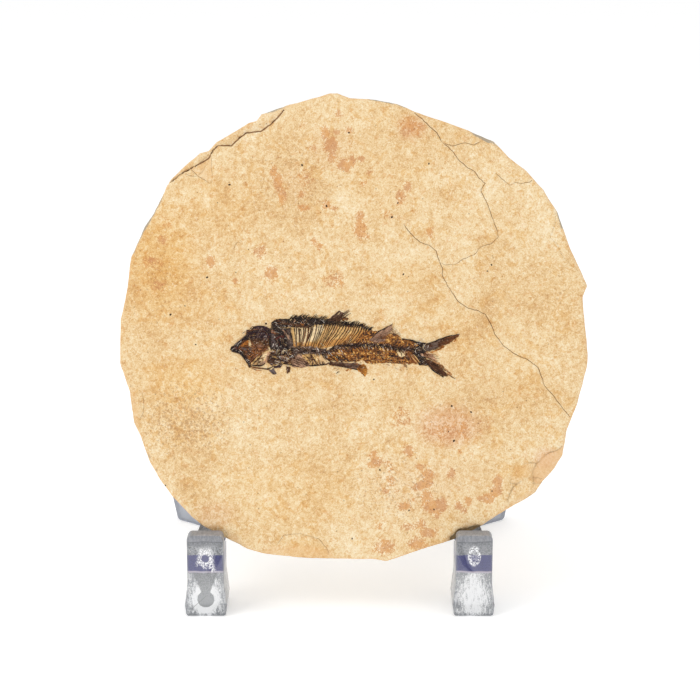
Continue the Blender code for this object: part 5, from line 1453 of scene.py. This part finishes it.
NECK = 6.5                                   # least width of the arm round its arch
HALF_LAP_HEIGHT = 88.5
HALF_LAP_REACH = 20.0
REAR_FOOT_LENGTH = 21.0
REAR_FOOT_HEIGHT = 12.0
REAR_FOOT_LEAN = 2.5
MOULDED_EDGE = 0.6
ARC_STEP = math.radians(8)
SMOOTH_UP_TO = math.radians(32)
CUT_REACH = 120.0                            # a cutting block reaches past the whole stand


def rounded(corners):
    """An outline from (x, y, radius) corners, each rounded by an arc."""
    points = []
    count = len(corners)
    for index, (x, y, radius) in enumerate(corners):
        corner = Vector((x, y))
        if radius == 0:
            points.append(corner)
            continue
        before = (Vector(corners[index - 1][:2]) - corner).normalized()
        after = (Vector(corners[(index + 1) % count][:2]) - corner).normalized()
        half = math.acos(max(-1.0, min(1.0, before.dot(after)))) / 2
        centre = corner + (before + after).normalized() * (radius / math.sin(half))
        start = corner + before * radius / math.tan(half) - centre
        end = corner + after * radius / math.tan(half) - centre
        turn = start.angle_signed(end)
        steps = max(3, round(abs(turn) / ARC_STEP))
        for step in range(steps + 1):
            spoke = start.copy()
            spoke.rotate(Matrix.Rotation(-turn * step / steps, 2))
            points.append(centre + spoke)
    return points


arm_run = Vector(ARM_END) - Vector(ARM_START)
arm_length = arm_run.length
arm_along = arm_run.normalized()
arm_across = Vector((arm_along.y, -arm_along.x))
back_slope = arm_along.y / math.tan(LEAN)
seat_rear = SEAT_BACK + SLAB_THICKNESS * math.cos(LEAN)
seat_low = SEAT_HEIGHT - SLAB_THICKNESS * math.sin(LEAN)


def support(height):
    """How far along the arm the slab's back is at a height."""
    return (seat_rear - ARM_START[1]) / arm_along.y + (height - seat_low) / back_slope


# An arm's outline, round by way of its arch and rear foot: along, up, radius
heel = arm_length - REAR_FOOT_LENGTH
toe = arm_length - 2 * REAR_FOOT_LEAN
ARM_OUTLINE = rounded([
    (0.0, 7.0, 0.0),
    (5.0, 13.0, 3.0),
    (support(ARCH_FRONT) + NECK, ARCH_FRONT, 4.0),
    (support(ARCH_TOP - NECK) + ARM_BAND / math.sin(math.atan(back_slope)), ARCH_TOP, 7.0),
    (heel, 3.5, 3.0),
    (heel + REAR_FOOT_LEAN, 0.0, 1.0),
    (arm_length - REAR_FOOT_LEAN, 0.0, 1.6),
    (arm_length, 0.7 * REAR_FOOT_HEIGHT, 2.2),
    (toe, 1.6 * REAR_FOOT_HEIGHT, 4.0),
    (support(ARM_TOP) + ARM_CREST, ARM_TOP, 5.0),
    (support(ARM_TOP) - ARM_OVERRUN, ARM_TOP, 3.0),
    (support(ARM_TOP / 2) - ARM_OVERRUN, ARM_TOP / 2, 0.0),
    (-3.0, ARCH_FRONT, 0.0)])

# One side of a foot: across, up, radius
foot_base = FOOT_WIDTH / 2 + FOOT_FLARE
foot_side = [(foot_base - 0.4, 0.0, 0.9), (foot_base, 3.4, 1.5), (FOOT_WIDTH / 2, 11.0, 6.0),
             (FOOT_WIDTH / 2, FOOT_HEIGHT, 1.6)]
FOOT_OUTLINE = rounded(foot_side + [(-x, z, radius) for x, z, radius in reversed(foot_side)])


def moulded(name, outline, depth, placing):
    """A plate of an outline's shape with softly rounded edges; placing turns (x, y, z) to its place."""
    bpy.ops.object.select_all(action="DESELECT")
    bpy.ops.mesh.primitive_circle_add(vertices=len(outline), radius=1.0, fill_type="NGON")
    piece = bpy.context.object
    piece.name = name
    for vert, point in zip(piece.data.vertices, outline):
        vert.co = (point.x, point.y, 0.0)
    bpy.ops.object.mode_set(mode="EDIT")
    bpy.ops.mesh.select_all(action="SELECT")
    bpy.ops.mesh.extrude_region_move(TRANSFORM_OT_translate={"value": (0.0, 0.0, depth)})
    bpy.ops.mesh.select_mode(type="EDGE")
    bpy.ops.mesh.select_all(action="DESELECT")
    bpy.ops.object.mode_set(mode="OBJECT")
    for edge in piece.data.edges:
        ends = [piece.data.vertices[index].co.z for index in edge.vertices]
        edge.select = abs(ends[0] - ends[1]) < depth / 2
    bpy.ops.object.mode_set(mode="EDIT")
    bpy.ops.mesh.bevel(offset=MOULDED_EDGE, segments=3, affect="EDGES")
    bpy.ops.object.mode_set(mode="OBJECT")
    for vert in piece.data.vertices:
        vert.co = Vector(placing(*vert.co)) * MM
    face_outwards(piece.data)
    return piece


def room(name, low, high, placing):
    """A block from one corner to the other, used to clear room for something else."""
    bpy.ops.object.select_all(action="DESELECT")
    bpy.ops.mesh.primitive_cube_add(size=1.0)
    piece = bpy.context.object
    piece.name = name
    for vert in piece.data.vertices:
        corner = [high[axis] if vert.co[axis] > 0 else low[axis] for axis in range(3)]
        vert.co = Vector(placing(*corner)) * MM
    face_outwards(piece.data)
    return piece


def combine(piece, tool, operation):
    """Joins a tool to a piece, or cuts it away, and removes the tool."""
    select_only(piece)
    step = piece.modifiers.new("step", "BOOLEAN")
    step.operation = operation
    step.object = tool
    step.solver = "EXACT"
    bpy.ops.object.modifier_apply(modifier=step.name)
    bpy.data.objects.remove(tool)


def in_slab_frame(across, depth, up):
    """World millimetres of a place given in the slab's frame."""
    return tuple(on_slab(np.array([across]), np.array([depth]), np.array([up]))[0] / MM)


def stand_arm(name, side):
    """One arm: side is 1 for the right arm and -1 for the left."""
    far = CUT_REACH

    def on_arm(along, height, depth):
        spot = Vector(ARM_START) + arm_along * along + arm_across * (depth - ARM_THICKNESS / 2)
        return STAND_OFFSET + side * spot.x, STAND_FRONT + spot.y, height

    def on_foot(across, height, depth):
        return STAND_OFFSET + side * FOOT_SPACING / 2 + across, STAND_FRONT + depth, height

    def past_other_arm(along, across, height):
        spot = Vector(ARM_START) + arm_along * (along - ARM_START[0] / arm_along.x)
        spot += arm_across * across
        return STAND_OFFSET - side * spot.x, STAND_FRONT + spot.y, height

    arm = moulded(name, ARM_OUTLINE, ARM_THICKNESS, on_arm)
    slab_room = room("slab_room", (-far, -far, LEDGE_LEVEL - far),
                     (far, SLAB_THICKNESS + TOUCH_GAP, far), in_slab_frame)
    combine(arm, slab_room, "DIFFERENCE")
    foot = moulded("foot", FOOT_OUTLINE, FOOT_DEPTH, on_foot)
    seat_room = room("seat_room", (-far, -LIP_CLEARANCE, LEDGE_LEVEL), (far, far, far), in_slab_frame)
    combine(foot, seat_room, "DIFFERENCE")
    combine(arm, foot, "UNION")
    half = ARM_THICKNESS / 2 + TOUCH_GAP
    low = HALF_LAP_HEIGHT - (TOUCH_GAP / 2 if side < 0 else 1.5 * HALF_LAP_REACH)
    high = HALF_LAP_HEIGHT + (1.5 * HALF_LAP_REACH if side < 0 else TOUCH_GAP / 2)
    reach = HALF_LAP_REACH / 2
    half_lap = room("half_lap", (-reach, -half, low), (reach, half, high), past_other_arm)
    combine(arm, half_lap, "DIFFERENCE")
    return arm


# What shows inside the feet, mostly painted reflections, highlights and shade: heights of the marks,
# and their colours, dark and light
PLASTIC_INDEX = 1.49
KEYHOLE_LEVEL = 5.7
NAVY_BOTTOM = 14.4
NAVY_TOP = 20.3
RIVET_LEVEL = 19.2
OVAL_LEVEL = 20.0
LIP_LEVEL = 24.5
CLEAR = (222, 225, 232)
SILVER_REFLECTION = ((138, 141, 144), (250, 251, 252))
HOLLOW = ((96, 99, 101), (146, 149, 150))
NAVY_REFLECTION = ((44, 46, 96), (72, 74, 130))
UPPER_GREY_REFLECTION = ((108, 111, 115), (154, 156, 160))
LIP_GREY_REFLECTION = ((142, 144, 149), (172, 173, 178))
CRAZED = ((84, 86, 84), (206, 207, 208))
SCRATCHED = (104, 107, 109)
SEAM = (206, 196, 204)
LEDGE_PAINTED_SHADE = (104, 106, 112)
SPARKLE_HIGHLIGHT = (246, 246, 248)
FLANK_PAINTED_SHADE = (136, 140, 146)
REAR_GREY_REFLECTION = (168, 173, 184)
SCUFFED = (236, 237, 240)


def clear_plastic():
    """Clear polystyrene; its thick feet show a navy band and a silvery crackle, painted reflections,
    with painted highlights and shade.
    """
    material, shader, place = new_material("clear_plastic", {
        "Base Color": (*linear(CLEAR), 1.0), "Transmission Weight": 1.0, "IOR": PLASTIC_INDEX,
        "Roughness": 0.03})
    tree = material.node_tree

    def absolute(value):
        return value.math("ABSOLUTE", value)

    def distance(first, second):
        """How far two offsets at right angles reach."""
        square = first * first + second * second
        return square.math("SQRT", square)

    # Places in millimetres, from the middle of the stand's front; aside is from a foot's middle
    east, north, height = [place.node("ShaderNodeSeparateXYZ", {}, {0: place}, axis) * (1 / MM)
                           for axis in range(3)]
    east = east - STAND_OFFSET
    north = north - STAND_FRONT
    right_foot = east.rise(-1.0, 1.0)
    left_foot = 1.0 - right_foot
    aside = absolute(absolute(east) - FOOT_SPACING / 2)
    sideways = east + FOOT_SPACING / 2
    grain = place.noise(0.55 * MM, 3.0, 0.6)
    fine = place.noise(0.28 * MM, 2.0)
    runs = place.scaled(1.0, 0.4, 0.3).noise(0.75 * MM, 3.0, 1.0)
    level = height + (place.noise(5 * MM, 1.0) - 0.5) * 0.8
    above_silver = level.rise(NAVY_BOTTOM, NAVY_BOTTOM + 0.3)
    above_band = level.rise(NAVY_TOP, NAVY_TOP + 0.3)
    lip = level.rise(LIP_LEVEL, LIP_LEVEL + 0.4)

    # The silvery crackle, a painted reflection, brightest in the foot's lower middle and round the
    # keyhole, with a grey keyhole and a scratch in the left foot
    glow = 1.0 - (aside + absolute(height - 6.5) * 0.25).rise(1.5, 6.0)
    silver_reflection = runs * 0.45 + grain * 0.25 + fine * 0.30 + glow * 0.12 - height.rise(9.0, 14.0) * 0.06
    from_hole = distance(aside, height - KEYHOLE_LEVEL)
    halo = (1.0 - absolute(from_hole - 3.5).rise(0.3, 1.6)) * left_foot
    silver_reflection = silver_reflection + halo * 0.08 - (1.0 - height.rise(0.4, 1.6)) * 0.09
    look = silver_reflection.rise(0.41, 0.63).blend(*SILVER_REFLECTION)
    circle = 1.0 - from_hole.rise(2.4, 2.9)
    neck = (1.0 - (aside - (height - 8.5) * 0.38).rise(0.9, 2.1)) * height.rise(5.0, 6.5)
    keyhole = (circle + neck + (grain - 0.5) * 1.4).rise(0.2, 0.7) * left_foot
    hollow = (fine + (12.0 - height) * 0.02).rise(0.36, 0.66)
    look = (keyhole * 0.9).blend(look, hollow.blend(*HOLLOW))
    scratch = 1.0 - absolute(height - 2.3 - (sideways + 4.7) * 0.93).rise(0.05, 0.18)
    scratch = scratch * (1.0 - absolute(sideways + 2.35).rise(2.2, 2.5))
    look = (scratch * 0.7).blend(look, SCRATCHED)

    # The navy band, the grey upper end and its lip: painted reflections
    look = above_silver.blend(look, fine.rise(0.3, 0.7).blend(*NAVY_REFLECTION))
    seam = above_silver * (1.0 - level.rise(14.8, 15.3))
    look = (seam * 0.8).blend(look, SEAM)
    look = above_band.blend(look, (grain * 0.6 + fine * 0.4).rise(0.38, 0.6).blend(*UPPER_GREY_REFLECTION))
    look = lip.blend(look, (fine * 0.4 + runs * 0.6).rise(0.36, 0.64).blend(*LIP_GREY_REFLECTION))
    # A painted shade line along the ledge where the slab stands
    ledge_line = 1.0 - absolute(level - 24.6).rise(0.12, 0.3)
    look = (ledge_line * 0.6).blend(look, LEDGE_PAINTED_SHADE)
    crazed = above_band * (1.0 - height.rise(22.6, 24.2)) * left_foot
    look = (grain.rise(0.53, 0.59) * crazed * 0.75).blend(look, CRAZED[0])
    look = (grain.rise(0.47, 0.41) * crazed * 0.6).blend(look, CRAZED[1])

    # Painted highlights in bright speckles: an uneven patch in the left foot, round a dark dot, and a
    # ring in the right one
    flank = aside - (23.4 - height) * 0.16 + (grain - 0.5) * 3.0
    ragged_end = (height + (runs - 0.5) * 6.0 + sideways * 0.35).rise(15.6, 17.0)
    spray = (1.0 - flank.rise(1.4, 2.4)) * ragged_end * (1.0 - height.rise(21.6, 23.6))
    spray = spray * distance(aside, height - RIVET_LEVEL).rise(1.05, 1.4) * left_foot
    ring = distance(aside * (1 / 1.8), (height - OVAL_LEVEL) * (1 / 2.9))
    oval = (1.0 - ring.rise(1.0, 1.25)) * (0.35 + ring.rise(0.5, 0.8) * 0.65) * right_foot
    sparkle_highlight = (spray + oval) * (grain * 0.6 + fine * 0.4).rise(0.42, 0.54)
    look = sparkle_highlight.blend(look, SPARKLE_HIGHLIGHT)
    # Painted shade towards the feet's sides
    look = (aside.rise(4.9, 5.7) * 0.4).blend(look, FLANK_PAINTED_SHADE)
    # A painted reflection in bluish grey at the ends of the rear feet
    look = north.rise(60.0, 70.0).blend(look, REAR_GREY_REFLECTION)

    # Cloudy, so that the painted colours show, in the front feet, at the ends of the rear ones and where
    # the slab has scuffed the arms
    past_foot = north.rise(FOOT_DEPTH - 0.6, FOOT_DEPTH + 0.4)
    behind = past_foot - north.rise(FOOT_DEPTH + 8, FOOT_DEPTH + 14)
    scuffed = behind * height.rise(23.0, 26.0)
    look = scuffed.blend(look, SCUFFED)
    milkiness = (1.0 - past_foot) * (0.74 + above_silver * 0.08 - lip * 0.06 + sparkle_highlight * 0.18)
    cloudy = milkiness + north.rise(84.0, 90.0) * 0.6 + scuffed * 0.7
    milky = tree.nodes.new("ShaderNodeBsdfPrincipled")
    milky.inputs["Roughness"].default_value = 0.3
    milky.inputs["IOR"].default_value = PLASTIC_INDEX
    grain.bump(0.3, 0.1).feed(milky.inputs["Normal"])
    look.feed(milky.inputs["Base Color"])
    clear, cloud_end = [Shade(tree, end.outputs[0]) for end in (shader, milky)]
    mixed = clear.node("ShaderNodeMixShader", {}, {0: cloudy, 1: clear, 2: cloud_end})
    mixed.feed(tree.nodes["Material Output"].inputs["Surface"])
    return material


plastic = clear_plastic()
for name, side in (("left_stand_arm", -1), ("right_stand_arm", 1)):
    arm = stand_arm("clear_" + name, side)
    arm.data.materials.append(plastic)
    select_only(arm)
    bpy.ops.object.shade_smooth_by_angle(angle=SMOOTH_UP_TO)
    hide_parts(name)
    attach(arm, "root")
